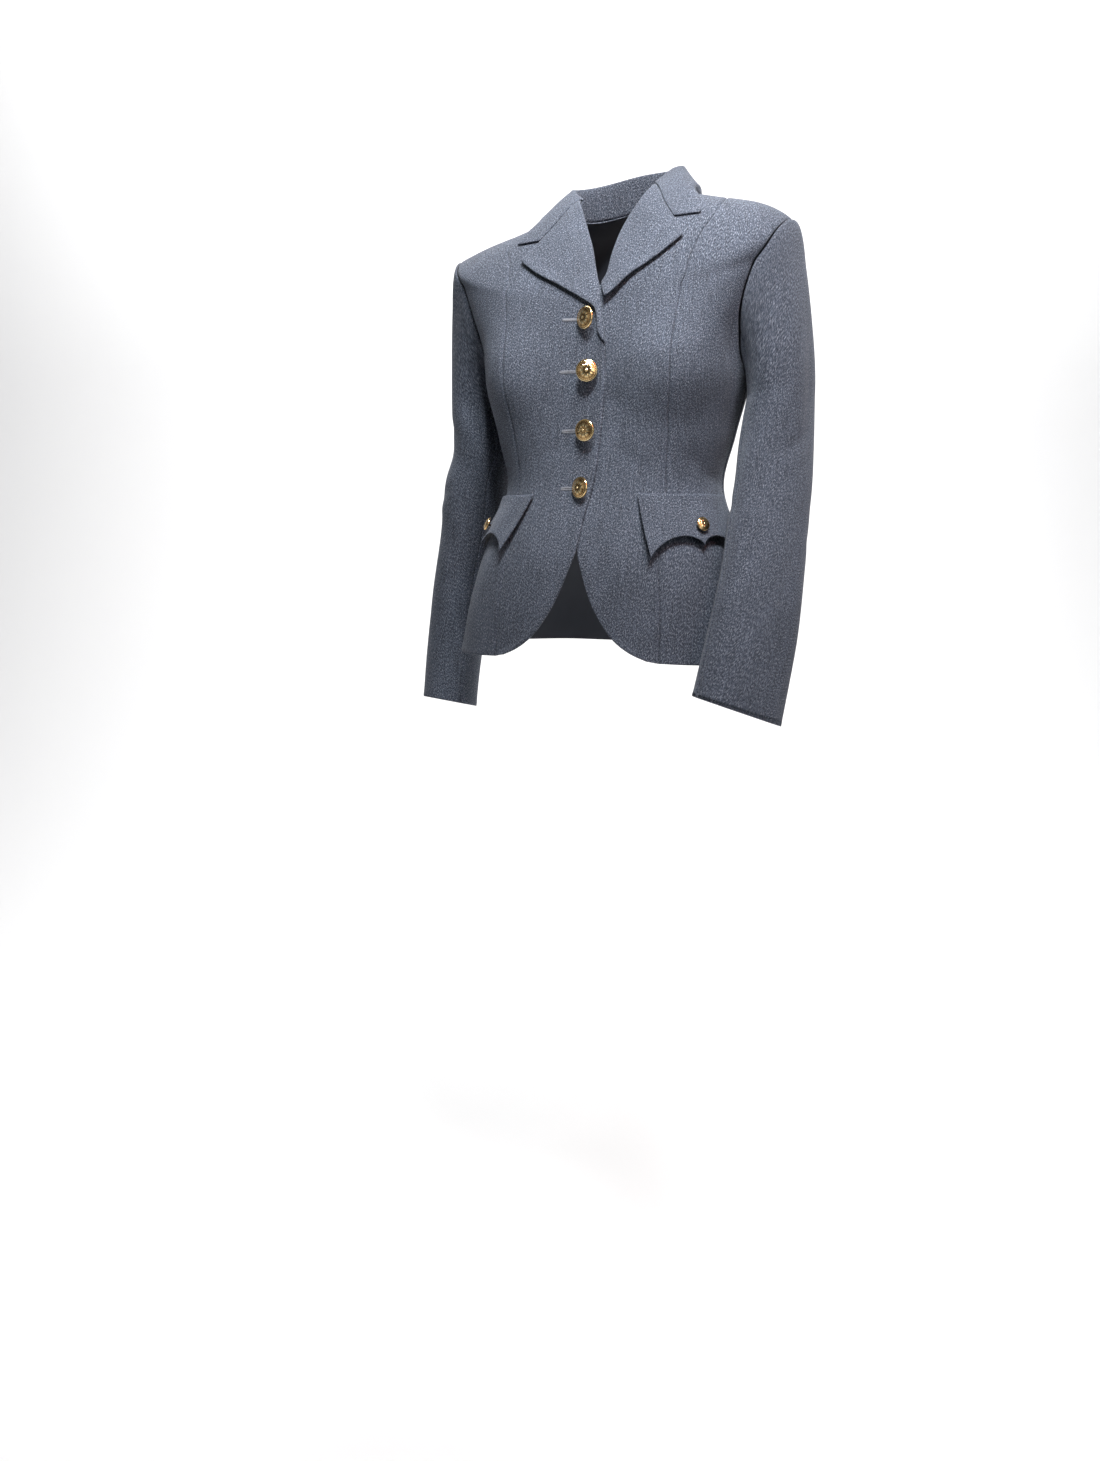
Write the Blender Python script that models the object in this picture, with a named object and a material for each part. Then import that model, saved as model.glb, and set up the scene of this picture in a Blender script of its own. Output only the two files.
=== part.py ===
"""Fitted single-breasted uniform jacket in heather wool serge, in the hollow form it keeps when worn.

Metres, +Z up, the front faces -Y and the wearer's left is +X. The origin lies in the middle of the
neck, level with the points where the shoulder seams meet the collar.
"""

import math

import bpy
import numpy as np
from mathutils import Vector

# Cloth
WALL = 0.0018
COLLAR_WALL = 0.0015
SEAM_GAP = 0.0003
SLEEVE_GAP = 0.0006
OVERLAP_DROP = 0.0026
LAP_END = 0.062
LAP_FADE = 0.036
LAPEL_REST = 0.0026
FLAP_REST = 0.0034

# Torso rings, from the neck to the hem. Drop is the depth of the ring's side point under the neck.
SECTION_COLUMNS = ("drop", "front_drop", "back_drop", "half_width", "front", "back", "bust", "crest")
SECTIONS = (
    (0.000, 0.040, -0.008, 0.066, 0.062, 0.060, 0.000, 3.6),
    (0.013, 0.074, 0.018, 0.118, 0.082, 0.084, 0.000, 2.6),
    (0.023, 0.094, 0.040, 0.163, 0.092, 0.096, 0.000, 2.2),
    (0.033, 0.104, 0.060, 0.190, 0.097, 0.104, 0.000, 2.0),
    (0.042, 0.112, 0.074, 0.205, 0.100, 0.108, 0.000, 2.0),
    (0.075, 0.128, 0.100, 0.200, 0.104, 0.113, 0.002, 2.0),
    (0.108, 0.146, 0.125, 0.187, 0.106, 0.114, 0.006, 2.0),
    (0.142, 0.166, 0.152, 0.173, 0.107, 0.113, 0.013, 2.0),
    (0.175, 0.186, 0.179, 0.164, 0.107, 0.110, 0.021, 2.0),
    (0.205, 0.208, 0.206, 0.161, 0.107, 0.105, 0.022, 2.0),
    (0.265, 0.265, 0.265, 0.147, 0.105, 0.086, 0.008, 2.0),
    (0.330, 0.330, 0.330, 0.135, 0.112, 0.072, 0.000, 2.0),
    (0.370, 0.370, 0.370, 0.148, 0.126, 0.080, 0.000, 2.0),
    (0.405, 0.405, 0.405, 0.164, 0.138, 0.092, 0.000, 2.0),
    (0.460, 0.460, 0.460, 0.182, 0.149, 0.106, 0.000, 2.0),
    (0.530, 0.530, 0.530, 0.197, 0.157, 0.116, 0.000, 2.0),
)
SQUARENESS = 0.05
BUST_ANGLE = math.radians(36)
BUST_SPREAD = math.radians(20)
BUST_SIDEWAYS = 0.4
LEAN = 0.09
LEAN_SIDEWAYS = 0.09
LEAN_END = 0.075
LEAN_MOST = 1.2

# The largest folds, in ridges (height over 0) and troughs. Lean turns a fold from upright, by degrees.
FOLD_COLUMNS = ("angle", "drop or -z", "length", "width", "height", "lean")
BODY_FOLDS = (
    (52, 0.466, 0.075, 0.0210, 0.0034, 4),
    (73, 0.474, 0.065, 0.0190, -0.0030, -3),
    (101, 0.462, 0.070, 0.0220, 0.0038, 5),
    (146, 0.468, 0.075, 0.0260, 0.0042, 2),
    (61, 0.158, 0.040, 0.0150, -0.0026, 24),
    (121, 0.150, 0.060, 0.0170, 0.0032, -10),
    (138, 0.322, 0.055, 0.0180, -0.0024, 84),
    (-47, 0.458, 0.066, 0.0200, 0.0030, -5),
    (-68, 0.470, 0.070, 0.0180, -0.0028, 3),
    (-98, 0.455, 0.064, 0.0230, 0.0034, -4),
    (-149, 0.470, 0.078, 0.0250, 0.0038, -3),
    (-58, 0.150, 0.036, 0.0160, -0.0024, -28),
    (-124, 0.156, 0.056, 0.0180, 0.0028, 12),
    (-142, 0.330, 0.050, 0.0190, -0.0022, -82),
)
BODY_RADIUS = 0.155

# Seams and edges on the torso, for the wearer's left side. Angle is in degrees from the front centre.
EDGE_COLUMNS = ("angle", "drop")
TIP_DROP = 0.042
UNDERARM_DROP = 0.198
HEM = ((26, 0.5215), (30, 0.5240), (45, 0.5265), (90, 0.527), (180, 0.527))
CUTAWAY = ((26, 0.5215), (21, 0.514), (16, 0.502), (10, 0.477), (5.5, 0.449), (2.5, 0.423), (0.5, 0.406))
FRONT_NECK = ((60, -0.004), (75, -0.001), (90, 0.000))
FRONT_EDGE = ((-2, 0.358), (-5, 0.321), (-7, 0.263), (-8, 0.205), (-7.4, 0.150), (-5.6, 0.105),
              (-4.5, 0.070))
ROLL_OVER = ((-4.5, 0.070), (-3.5, 0.050), (-2, 0.031), (2, 0.015), (13, 0.004), (34, -0.002),
             (60, -0.004))
ROLL_UNDER = ((-4.5, 0.070), (0, 0.044), (2.6, 0.033), (8, 0.011), (17, 0.002), (35, -0.002),
              (60, -0.004))
PRINCESS = ((30, 0.524), (31.5, 0.468), (33.5, 0.404), (37, 0.370), (40.5, 0.334), (39, 0.300),
            (35.5, 0.250), (33, 0.200), (32.5, 0.150), (30.5, 0.084), (30, 0.045), (37, 0.028), (52, 0.020),
            (72, 0.0165), (90, 0.0145))
ARMHOLE_FRONT = ((90, 0.198), (77, 0.188), (68, 0.158), (60, 0.120), (57.5, 0.090), (58, 0.066),
                 (62, 0.049), (72, 0.0425), (90, 0.042))
ARMHOLE_BACK = ((90, 0.198), (103, 0.189), (113, 0.158), (120, 0.120), (122, 0.090), (121, 0.066),
                (116, 0.049), (106, 0.0425), (90, 0.042))

# Collar and lapels
GORGE = ((60, -0.004), (52, 0.000), (46, 0.0045), (41.5, 0.0125))
COLLAR_NOTCH_EDGE = ((41.5, 0.0125), (50, 0.0172))
COLLAR_OUTER = ((180, 0.0100), (135, 0.0082), (100, 0.0058), (80, 0.0060), (62, 0.0114), (50, 0.0172))
COLLAR_STAND = ((180, 0.038), (135, 0.037), (100, 0.031), (90, 0.028), (80, 0.023), (70, 0.014),
                (60, 0.005))
LAPEL_NOTCH_EDGE = ((41.5, 0.0125), (36, 0.0215))
LAPEL_OVER_EDGE = ((-7.0, 0.147), (-4.9, 0.130), (-4.0, 0.105), (-2.9, 0.085), (-0.5, 0.072), (3, 0.055),
                   (11, 0.0365), (19.5, 0.0285), (28, 0.0240), (36, 0.0215))
LAPEL_OVER_ROLL = ((-8.1, 0.150), (-6.9, 0.122), (-5.4, 0.095), (-4.5, 0.070))
LAPEL_UNDER_EDGE = ((5.6, 0.061), (11, 0.0385), (19.5, 0.0285), (28, 0.0240), (36, 0.0215))
LAPEL_UNDER_START = (3.3, 0.0335)
ROLL_BULGE = 0.0035
BULGE_EASE = 0.7
LAPEL_EASE = 3
GORGE_EASE = 1.5
COLLAR_EASE = 1.15
COLLAR_BLEND = 4
FOLD_LINE = ((180, 0.000), (135, 0.000), (90, 0.000), (72, -0.002), (60, -0.004))
# The stand inside the neck, row by row from the neck seam up to the fold
STAND_COLUMNS = ("inward", "up", "share of the stand's height")
STAND = ((0.0010, 0.0012, 0.00), (0.0034, 0.0014, 0.45), (0.0036, 0.0016, 0.88), (0.0018, 0.0024, 1.00))

# Pocket flaps
FLAP_TOP = (26.5, 85.5)
FLAP_COLUMNS = ("foot_start", "foot_end", "long_point")
FLAP_LEFT = (29.7, 74.5, 0.0745)
FLAP_RIGHT = (34.0, 78.0, 0.0690)
FLAP_TOP_DROP = 0.3360
FLAP_MIDDLE_POINT = 0.0605
FLAP_ARCH = 0.016
ARCH_EASE = 0.75
FLAP_FLARE = 0.006
FLARE_EASE = 1.5

# Sleeve rings. The long half-axis is turned from straight back towards the outside.
SLEEVE_COLUMNS = ("z", "x", "y", "long_half", "short_half", "turn")
SLEEVE_LEFT = (
    (-0.225, 0.1995, 0.002, 0.060, 0.0370, 0),
    (-0.280, 0.1985, -0.008, 0.056, 0.0415, 5),
    (-0.320, 0.2010, -0.028, 0.055, 0.0415, 12),
    (-0.362, 0.2018, -0.052, 0.054, 0.0415, 20),
    (-0.413, 0.2040, -0.082, 0.054, 0.0395, 28),
    (-0.489, 0.2024, -0.120, 0.055, 0.0365, 38),
    (-0.530, 0.1990, -0.138, 0.054, 0.0350, 42),
    (-0.570, 0.1950, -0.153, 0.053, 0.0335, 45),
)
SLEEVE_RIGHT = (
    (-0.225, 0.1960, 0.022, 0.058, 0.0320, 5),
    (-0.280, 0.1880, 0.018, 0.056, 0.0390, 2),
    (-0.310, 0.1960, 0.017, 0.055, 0.0405, 3),
    (-0.384, 0.2110, 0.024, 0.054, 0.0400, 6),
    (-0.460, 0.2300, 0.028, 0.053, 0.0380, 9),
    (-0.530, 0.2400, 0.027, 0.052, 0.0370, 12),
    (-0.575, 0.2450, 0.025, 0.052, 0.0360, 14),
    (-0.612, 0.2475, 0.022, 0.052, 0.0355, 15),
)
# The largest folds round each sleeve: 0 outside, 90 front, 180 inside, 270 back
SLEEVE_FOLDS_LEFT = (
    (-62, 0.300, 0.085, 0.0160, 0.0026, 3),
    (22, 0.225, 0.075, 0.0150, -0.0022, 4),
    (86, 0.322, 0.034, 0.0190, -0.0038, 74),
    (-6, 0.480, 0.075, 0.0170, 0.0022, -6),
)
SLEEVE_FOLDS_RIGHT = (
    (-66, 0.290, 0.080, 0.0170, 0.0024, -3),
    (14, 0.215, 0.075, 0.0160, -0.0022, 2),
    (90, 0.292, 0.036, 0.0200, -0.0040, 70),
    (-12, 0.505, 0.070, 0.0160, 0.0020, -6),
)
SLEEVE_RADIUS = 0.048
FOLD_FADE = 0.03
# The slope of each cuff, and the way it falls in degrees from straight back towards the outside
CUFF_COLUMNS = ("slope", "way")
CUFF_LEFT = (0.36, 50)
CUFF_RIGHT = (0.26, -24)
CAP_REACH = 0.14
CAP_FALL = 1.15
HEAD_ROLL = 0.0025
HEAD_ROLL_END = 0.4
HEAD_ROLL_WAY = (0.6, 0.0, 0.8)
# How a sleeve leaves its armhole: outwards, then towards the back at its front, and up at its head
CAP_TURN = 0.25
CAP_RISE = 0.10
SEAM_LIFT = 0.0004
SEAM_STEP = 0.0006
FRONT_INSEAM = 132
HIND_SEAM = 250

# Buttons. Turn is in degrees about the upright axis, towards the wearer's left.
BUTTON_RADIUS = 0.0125
BUTTON_STAND_OFF = 0.0070
BUTTON_COLUMNS = ("drop", "turn", "shift", "gap")
FRONT_BUTTONS = (
    (0.1040, -26, 0.0050, 0.0005),
    (0.1950, 14, 0.0020, 0.0007),
    (0.2650, -10, 0.0030, 0.0007),
    (0.3295, -26, 0.0020, 0.0010),
)
BUTTON_SIDES = 20
BUTTON_PITCH = 0.4
FLAP_BUTTON_RADIUS = 0.0083
FLAP_BUTTON_STAND_OFF = 0.0035
FLAP_BUTTON_SIDES = 16
FLAP_BUTTON_PLACE = (0.5, 0.63)
FLAP_BUTTON_GAP = 0.0006
SHANK_SHARE = 0.16
# Shares of the radius, with heights over the stand-off for the rim and shares again for the dome
BUTTON_RIM = ((0.78, 0.0002), (0.97, 0.0010), (1.00, 0.0016), (0.97, 0.0022), (0.88, 0.0026))
BUTTON_DOME = ((0.70, 0.13), (0.40, 0.25), (0.00, 0.30))

# Numbers of cells
FRONT_CELLS = 8
SIDE_CELLS = 8
BACK_CELLS = 12
SEAM_ROWS = 13
ARMHOLE_ROWS = 11
SLEEVE_UPPER_CELLS = 15
SLEEVE_UNDER_CELLS = 8
CAP_ROWS = 7
ARM_ROWS = 15
LAPEL_ROWS = 10
COLLAR_CELLS = 12
FLAP_CELLS = 16
FLAP_ROWS = 5
GORGE_CELLS = 3
NOTCH_CELLS = 2
HEAD_REACH = 6

UP = np.array([0.0, 0.0, 1.0])
WOOL = (0.060, 0.070, 0.098)
GOLD = (0.85, 0.60, 0.22)
WOOL_ROUGHNESS = 0.9
GOLD_ROUGHNESS = 0.22
SOFT_CORNER = math.radians(40)
METAL_CORNER = math.radians(50)


def slopes(x, y):
    """Slopes at the rows of a table, so that the curve through them bends smoothly."""
    steps = np.diff(x)
    rises = np.diff(y) / steps
    inner = (rises[:-1] * steps[1:] + rises[1:] * steps[:-1]) / (steps[1:] + steps[:-1])
    return np.concatenate([rises[:1], inner, rises[-1:]])


def smooth(rows, column, at):
    """One column of a table, read between its rows; the first column is the place of each row."""
    table = np.array(rows, float)
    x, y = table[:, 0], table[:, column]
    m = slopes(x, y)
    row = np.clip(np.searchsorted(x, at) - 1, 0, len(x) - 2)
    step = x[row + 1] - x[row]
    s = (at - x[row]) / step
    value = (y[row] * (1 + 2 * s) * (1 - s) ** 2 + y[row + 1] * s * s * (3 - 2 * s)
             + step * (m[row] * s * (1 - s) ** 2 - m[row + 1] * s * s * (1 - s)))
    return np.where(at < x[0], y[0] + m[0] * (at - x[0]), value)


def torso(angle, drop):
    """The outer cloth surface at an angle from the front centre, in radians, and a ring's drop."""
    sine, cosine = np.sin(angle), np.cos(angle)
    ring = {name: smooth(SECTIONS, k, drop) for k, name in enumerate(SECTION_COLUMNS) if k}
    ahead = cosine > 0
    depth = np.where(ahead, ring["front"], ring["back"])
    middle = np.where(ahead, ring["front_drop"], ring["back_drop"])
    square = 1 + SQUARENESS * np.sin(2 * angle) ** 2
    bust = ring["bust"] * np.exp(-((np.abs(angle) - BUST_ANGLE) / BUST_SPREAD) ** 2)
    x = ring["half_width"] * sine * square + BUST_SIDEWAYS * bust * np.sign(angle)
    y = -depth * cosine * square - bust
    z = -(drop + (middle - drop) * np.abs(cosine) ** ring["crest"])
    ease = np.clip(1 - drop / LEAN_END, 0, LEAN_MOST)
    lean = LEAN * ease * ease * (2 - ease)
    return np.stack([x + LEAN_SIDEWAYS * lean, y, z + lean * x], -1)


def torso_normal(angle, drop):
    """The outward normal of that surface."""
    step = 0.002
    along = torso(angle + step, drop) - torso(angle - step, drop)
    down = torso(angle, drop + step) - torso(angle, drop - step)
    normal = np.cross(down, along)
    return normal / np.linalg.norm(normal, axis=-1, keepdims=True)


def creases(folds, across, along):
    """The height of a table's folds over the plain surface, at places across and along it in metres."""
    total = np.zeros(np.broadcast(across, along).shape)
    for place, down, length, width, height, lean in folds:
        sine, cosine = math.sin(math.radians(lean)), math.cos(math.radians(lean))
        side, below = across - place, along - down
        p = side * cosine - below * sine
        q = side * sine + below * cosine
        total = total + height * np.exp(-(p / width) ** 2 - (q / length) ** 2)
    return total


def in_metres(folds, radius):
    """A table of folds with its angles as lengths round a body of that radius."""
    return [(math.radians(fold[0]) * radius, *fold[1:]) for fold in folds]


def cloth(angle, drop):
    """The torso's surface with its largest folds."""
    height = creases(in_metres(BODY_FOLDS, BODY_RADIUS), angle * BODY_RADIUS, drop)
    return torso(angle, drop) + torso_normal(angle, drop) * height[..., None]


def spaced(points, count):
    """A smooth curve through flat points, read at evenly spaced places along it in the real cloth."""
    points = np.array(points, float)
    knots = np.concatenate([[0], np.cumsum(np.linalg.norm(np.diff(in_space(points), axis=0), axis=1))])
    rows = np.column_stack([knots, points])
    fine = np.linspace(0, knots[-1], 200)
    curve = np.column_stack([smooth(rows, 1, fine), smooth(rows, 2, fine)])
    length = np.concatenate([[0], np.cumsum(np.linalg.norm(np.diff(in_space(curve), axis=0), axis=1))])
    at = np.linspace(0, length[-1], count)
    return np.column_stack([np.interp(at, length, curve[:, 0]), np.interp(at, length, curve[:, 1])])


def in_space(flat):
    return torso(np.radians(flat[:, 0]), flat[:, 1])


def joined(*pieces):
    """Several runs of points end to end, each starting where the last one stopped."""
    return np.vstack([pieces[0]] + [piece[1:] for piece in pieces[1:]])


def line(start, end, count):
    return np.linspace(start, end, count)


def patch(left, right, foot, head):
    """The flat points of a panel between its four edges, rows from foot to head."""
    u = np.linspace(0, 1, len(foot))[None, :, None]
    v = np.linspace(0, 1, len(left))[:, None, None]
    foot_bend = foot[None] - (1 - u) * foot[0] - u * foot[-1]
    head_bend = head[None] - (1 - u) * head[0] - u * head[-1]
    return (1 - u) * left[:, None] + u * right[:, None] + (1 - v) * foot_bend + v ** HEAD_REACH * head_bend


def mirrored(flat):
    """The same panel on the wearer's right side."""
    return flat * np.array([-1, 1])


def grid_normals(grid):
    """Normals of a grid of points, towards its left-hand side as the columns run."""
    down = np.gradient(grid, axis=0)
    along = np.gradient(grid, axis=1)
    normal = np.cross(down, along)
    return normal / np.maximum(np.linalg.norm(normal, axis=-1, keepdims=True), 1e-12)


def inset(grid, amount):
    """The grid with its outer rows and columns drawn in, to leave the seam gap."""
    grid = grid.copy()
    for axis in (0, 1):
        rows = np.moveaxis(grid, axis, 0)
        for edge, inner in ((0, 1), (-1, -2)):
            step = rows[inner] - rows[edge]
            length = np.maximum(np.linalg.norm(step, axis=-1, keepdims=True), 1e-9)
            rows[edge] += step / length * np.minimum(amount, 0.4 * length)
    return grid


def wool_material():
    return principled("wool_serge", WOOL, WOOL_ROUGHNESS, 0.0)


def principled(name, colour, roughness, metallic):
    material = bpy.data.materials.get(name) or bpy.data.materials.new(name)
    material.use_nodes = True
    shader = material.node_tree.nodes["Principled BSDF"]
    shader.inputs["Base Color"].default_value = (*colour, 1)
    shader.inputs["Roughness"].default_value = roughness
    shader.inputs["Metallic"].default_value = metallic
    return material


def solid(name, points, faces, material):
    """A closed mesh object, its faces turned outwards."""
    faces = np.array(faces)
    corners = points[faces]
    if np.linalg.det(corners).sum() < 0:
        faces = faces[:, ::-1]
    mesh = bpy.data.meshes.new(name)
    mesh.from_pydata(points.tolist(), [], faces.tolist())
    mesh.materials.append(material)
    mesh.shade_smooth()
    mesh.set_sharp_from_angle(angle=SOFT_CORNER)
    piece = bpy.data.objects.new(name, mesh)
    bpy.context.scene.collection.objects.link(piece)
    return piece


def sheet_solid(name, outer, inner):
    """A cloth wall between an outer and an inner grid, each cell cut along its shorter diagonal."""
    rows, columns = outer.shape[:2]
    index = np.arange(rows * columns).reshape(rows, columns)
    a, b, c, d = index[:-1, :-1], index[:-1, 1:], index[1:, 1:], index[1:, :-1]
    flat = outer.reshape(-1, 3)
    falling = np.linalg.norm(flat[a] - flat[c], axis=-1) < np.linalg.norm(flat[b] - flat[d], axis=-1)
    first = np.where(falling[..., None], np.stack([a, b, c], -1), np.stack([a, b, d], -1)).reshape(-1, 3)
    second = np.where(falling[..., None], np.stack([a, c, d], -1), np.stack([b, c, d], -1)).reshape(-1, 3)
    top = np.concatenate([first, second])
    ring = np.concatenate([index[0, :-1], index[:-1, -1], index[-1, :0:-1], index[:0:-1, 0]])
    after = np.roll(ring, -1)
    offset = rows * columns
    rim = np.concatenate([np.stack([ring, ring + offset, after + offset], -1),
                          np.stack([ring, after + offset, after], -1)])
    points = np.concatenate([flat, inner.reshape(-1, 3)])
    return solid(name, points, np.concatenate([top, top[:, ::-1] + offset, rim]), wool_material())


def torso_wall(name, flat, sunk=0.0):
    """A panel of the torso as a wall under the outer surface, sunk where another panel covers it."""
    angle, drop = np.radians(flat[..., 0]), flat[..., 1]
    points, normal = cloth(angle, drop), torso_normal(angle, drop)
    outer = inset(points - normal * np.asarray(sunk)[..., None], SEAM_GAP / 2)
    return sheet_solid(name, outer, outer - normal * WALL)


def front_outline(roll):
    """The free edge of a front, from the foot of the princess seam's hem up to the neck."""
    return joined(spaced(CUTAWAY + FRONT_EDGE, SEAM_ROWS + 2), spaced(roll, ARMHOLE_ROWS - 1))


def princess_outline():
    return spaced(PRINCESS, SEAM_ROWS + ARMHOLE_ROWS)


def side_outline(armhole):
    seam = line(HEM[3], (90, UNDERARM_DROP), SEAM_ROWS + 1)
    return joined(seam, spaced(armhole, ARMHOLE_ROWS))


def front_panel(roll):
    left, right = front_outline(roll), princess_outline()
    half = FRONT_CELLS // 2
    head = joined(spaced(FRONT_NECK, half + 1), line(FRONT_NECK[-1], right[-1], half + 1))
    return patch(left, right, spaced(HEM[:2], FRONT_CELLS + 1), head)


def side_front_panel():
    left, right = princess_outline(), side_outline(ARMHOLE_FRONT)
    return patch(left, right, spaced(HEM[1:4], SIDE_CELLS + 1), line(left[-1], right[-1], SIDE_CELLS + 1))


def back_panel():
    left, right = side_outline(ARMHOLE_BACK), line(HEM[4], (180, 0.0), SEAM_ROWS + ARMHOLE_ROWS)
    half = BACK_CELLS // 2
    shoulder = line((90, TIP_DROP), FRONT_NECK[-1], half + 1)
    head = joined(shoulder, line(FRONT_NECK[-1], (180, 0.0), half + 1))
    return patch(left, right, line(HEM[3], HEM[4], BACK_CELLS + 1), head)


def under_lap(flat):
    """How far the under front is sunk beneath the front that laps over it."""
    x = torso(np.radians(flat[..., 0]), flat[..., 1])[..., 0]
    fade = np.clip((LAP_END - x) / LAP_FADE, 0, 1)
    return OVERLAP_DROP * fade * fade * (3 - 2 * fade)


def gorge_lift(share):
    """The height of the roll over the neck seam, along the seam between the collar and a lapel."""
    return COLLAR_STAND[-1][1] * np.clip(1 - share, 0, 1) ** GORGE_EASE


def lapel_panel(edge, roll, foot):
    """A lapel's flat points: rows run up from its foot, columns from the roll to the outer edge."""
    left = spaced(roll, LAPEL_ROWS + 1)
    right = spaced(edge, LAPEL_ROWS + 1)
    head = joined(spaced(GORGE, GORGE_CELLS + 1), line(*LAPEL_NOTCH_EDGE, NOTCH_CELLS + 1))
    return patch(left, right, line(foot[0], foot[1], GORGE_CELLS + NOTCH_CELLS + 1), head)


def lapel_wall(name, flat, side):
    angle, drop = np.radians(flat[..., 0]) * side, flat[..., 1]
    v = np.linspace(0, 1, flat.shape[0])[:, None]
    u = np.linspace(0, 1, flat.shape[1])[None, :]
    share = u * (GORGE_CELLS + NOTCH_CELLS) / GORGE_CELLS
    bulge = ROLL_BULGE * np.sin(math.pi * u) * np.sin(math.pi * v) ** BULGE_EASE
    lift = gorge_lift(share) * v ** LAPEL_EASE + bulge
    normal = torso_normal(angle, drop)
    outer = cloth(angle, drop) + normal * LAPEL_REST + UP * lift[..., None]
    outer = inset(outer, SEAM_GAP / 2)
    return sheet_solid(name, outer, outer - normal * WALL)


def collar_half(side):
    """One half of the collar from the back centre to its tip; rows run from the neck seam to the edge."""
    share = np.linspace(0, 1, COLLAR_CELLS + 1)
    end = joined(spaced(GORGE, GORGE_CELLS + 1), line(*COLLAR_NOTCH_EDGE, NOTCH_CELLS + 1))
    fall_rows = GORGE_CELLS + NOTCH_CELLS
    fold = spaced(FOLD_LINE, COLLAR_CELLS + 1)
    outer = spaced(COLLAR_OUTER, COLLAR_CELLS + 1)
    back = line(fold[0], outer[0], fall_rows + 1)
    down = np.linspace(0, 1, fall_rows + 1)[:, None]
    flat = fall_patch(back, end, fold, outer)
    stand = smooth([(-angle, height) for angle, height in COLLAR_STAND], 1, -fold[:, 0])
    at_tip = np.clip(1 - down * fall_rows / GORGE_CELLS, 0, 1) ** GORGE_EASE
    at_back = (1 - down) ** COLLAR_EASE
    blend = share[None, :] ** COLLAR_BLEND
    lift = stand[None, :] * (blend * at_tip + (1 - blend) * at_back)
    angle, drop = np.radians(flat[..., 0]) * side, flat[..., 1]
    fall = cloth(angle, drop) + torso_normal(angle, drop) * LAPEL_REST + UP * lift[..., None]
    seam = torso(np.radians(fold[:, 0]) * side, fold[:, 1])
    inward = -seam * np.array([1, 1, 0])
    inward /= np.linalg.norm(inward, axis=1, keepdims=True)
    inside = [seam + inward * far + UP * (high + part * stand[:, None]) for far, high, part in STAND]
    return np.concatenate([np.array(inside), fall])


def fall_patch(back, end, fold, outer):
    """The flat points of a collar's fall, rows from the fold to the outer edge."""
    u = np.linspace(0, 1, len(fold))[None, :, None]
    v = np.linspace(0, 1, len(back))[:, None, None]
    edges = (1 - u) * back[:, None] + u * end[:, None] + (1 - v) * fold[None] + v * outer[None]
    corners = ((1 - u) * (1 - v) * back[0] + u * (1 - v) * end[0]
               + (1 - u) * v * back[-1] + u * v * end[-1])
    return edges - corners


def collar():
    left, right = collar_half(1), collar_half(-1)
    grid = np.concatenate([right[:, :0:-1], left], axis=1)
    grid = inset(grid, SEAM_GAP / 2)
    normal = grid_normals(grid)
    middle = grid.shape[1] // 2
    if normal[-1, middle, 1] < 0:
        normal = -normal
    return sheet_solid("collar", grid, grid - normal * COLLAR_WALL)


def flap_outline(share, long_point):
    """How far the flap hangs below its seam, over its width: long points and a middle point."""
    half = np.abs(2 * share - 1)
    step = 1 - half
    straight = long_point + (FLAP_MIDDLE_POINT - long_point) * step
    return straight - FLAP_ARCH * (4 * half * step) ** ARCH_EASE


def flap_points(u, v, side):
    start, end, long_point = FLAP_LEFT if side > 0 else FLAP_RIGHT
    left = FLAP_TOP[0] + (start - FLAP_TOP[0]) * v
    right = FLAP_TOP[1] + (end - FLAP_TOP[1]) * v
    angle = np.radians(left + (right - left) * u) * side
    drop = FLAP_TOP_DROP + flap_outline(u, long_point) * v
    lift = FLAP_REST + FLAP_FLARE * v ** FLARE_EASE
    normal = torso_normal(angle, drop)
    return cloth(angle, drop) + normal * lift[..., None], normal


def flap(name, side):
    u, v = np.meshgrid(np.linspace(0, 1, FLAP_CELLS + 1), np.linspace(0, 1, FLAP_ROWS + 1))
    outer, normal = flap_points(u, v, side)
    return sheet_solid(name, outer, outer - normal * WALL)


def sleeve_loop(angle):
    """The armhole on the torso, read at an angle round the sleeve: 0 outside, 90 front, 180 inside."""
    front = spaced(ARMHOLE_FRONT[::-1], 61)
    back = spaced(ARMHOLE_BACK, 61)
    loop = joined(front, back)
    at = np.interp(angle % 360, np.linspace(0, 360, len(loop)), np.arange(len(loop)))
    low = np.floor(at).astype(int) % len(loop)
    high = np.minimum(low + 1, len(loop) - 1)
    part = (at - np.floor(at))[:, None]
    return loop[low] * (1 - part) + loop[high] * part


def sleeve_ring(rings, angle, z, cuff):
    """A ring of the arm at height z, at angles round it: 0 outside, 90 front, 180 inside, 270 back."""
    rows = [(-row[0], *row[1:]) for row in rings]
    ring = {name: smooth(rows, k, np.array(-z)) for k, name in enumerate(SLEEVE_COLUMNS) if k}
    bearing = np.radians(-angle)
    long_bearing = math.pi / 2 - np.radians(ring["turn"])
    along, across = np.cos(bearing - long_bearing), np.sin(bearing - long_bearing)
    radius = 1 / np.sqrt((along / ring["long_half"]) ** 2 + (across / ring["short_half"]) ** 2)
    x = ring["x"] + radius * np.cos(bearing)
    y = ring["y"] + radius * np.sin(bearing)
    low = np.clip((rings[3][0] - z) / (rings[3][0] - rings[-1][0]), 0, 1)
    slope, way = cuff[0], math.radians(cuff[1])
    away = (x - ring["x"]) * math.sin(way) + (y - ring["y"]) * math.cos(way)
    return np.stack([x, y, z - slope * low * low * away], -1)


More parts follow.
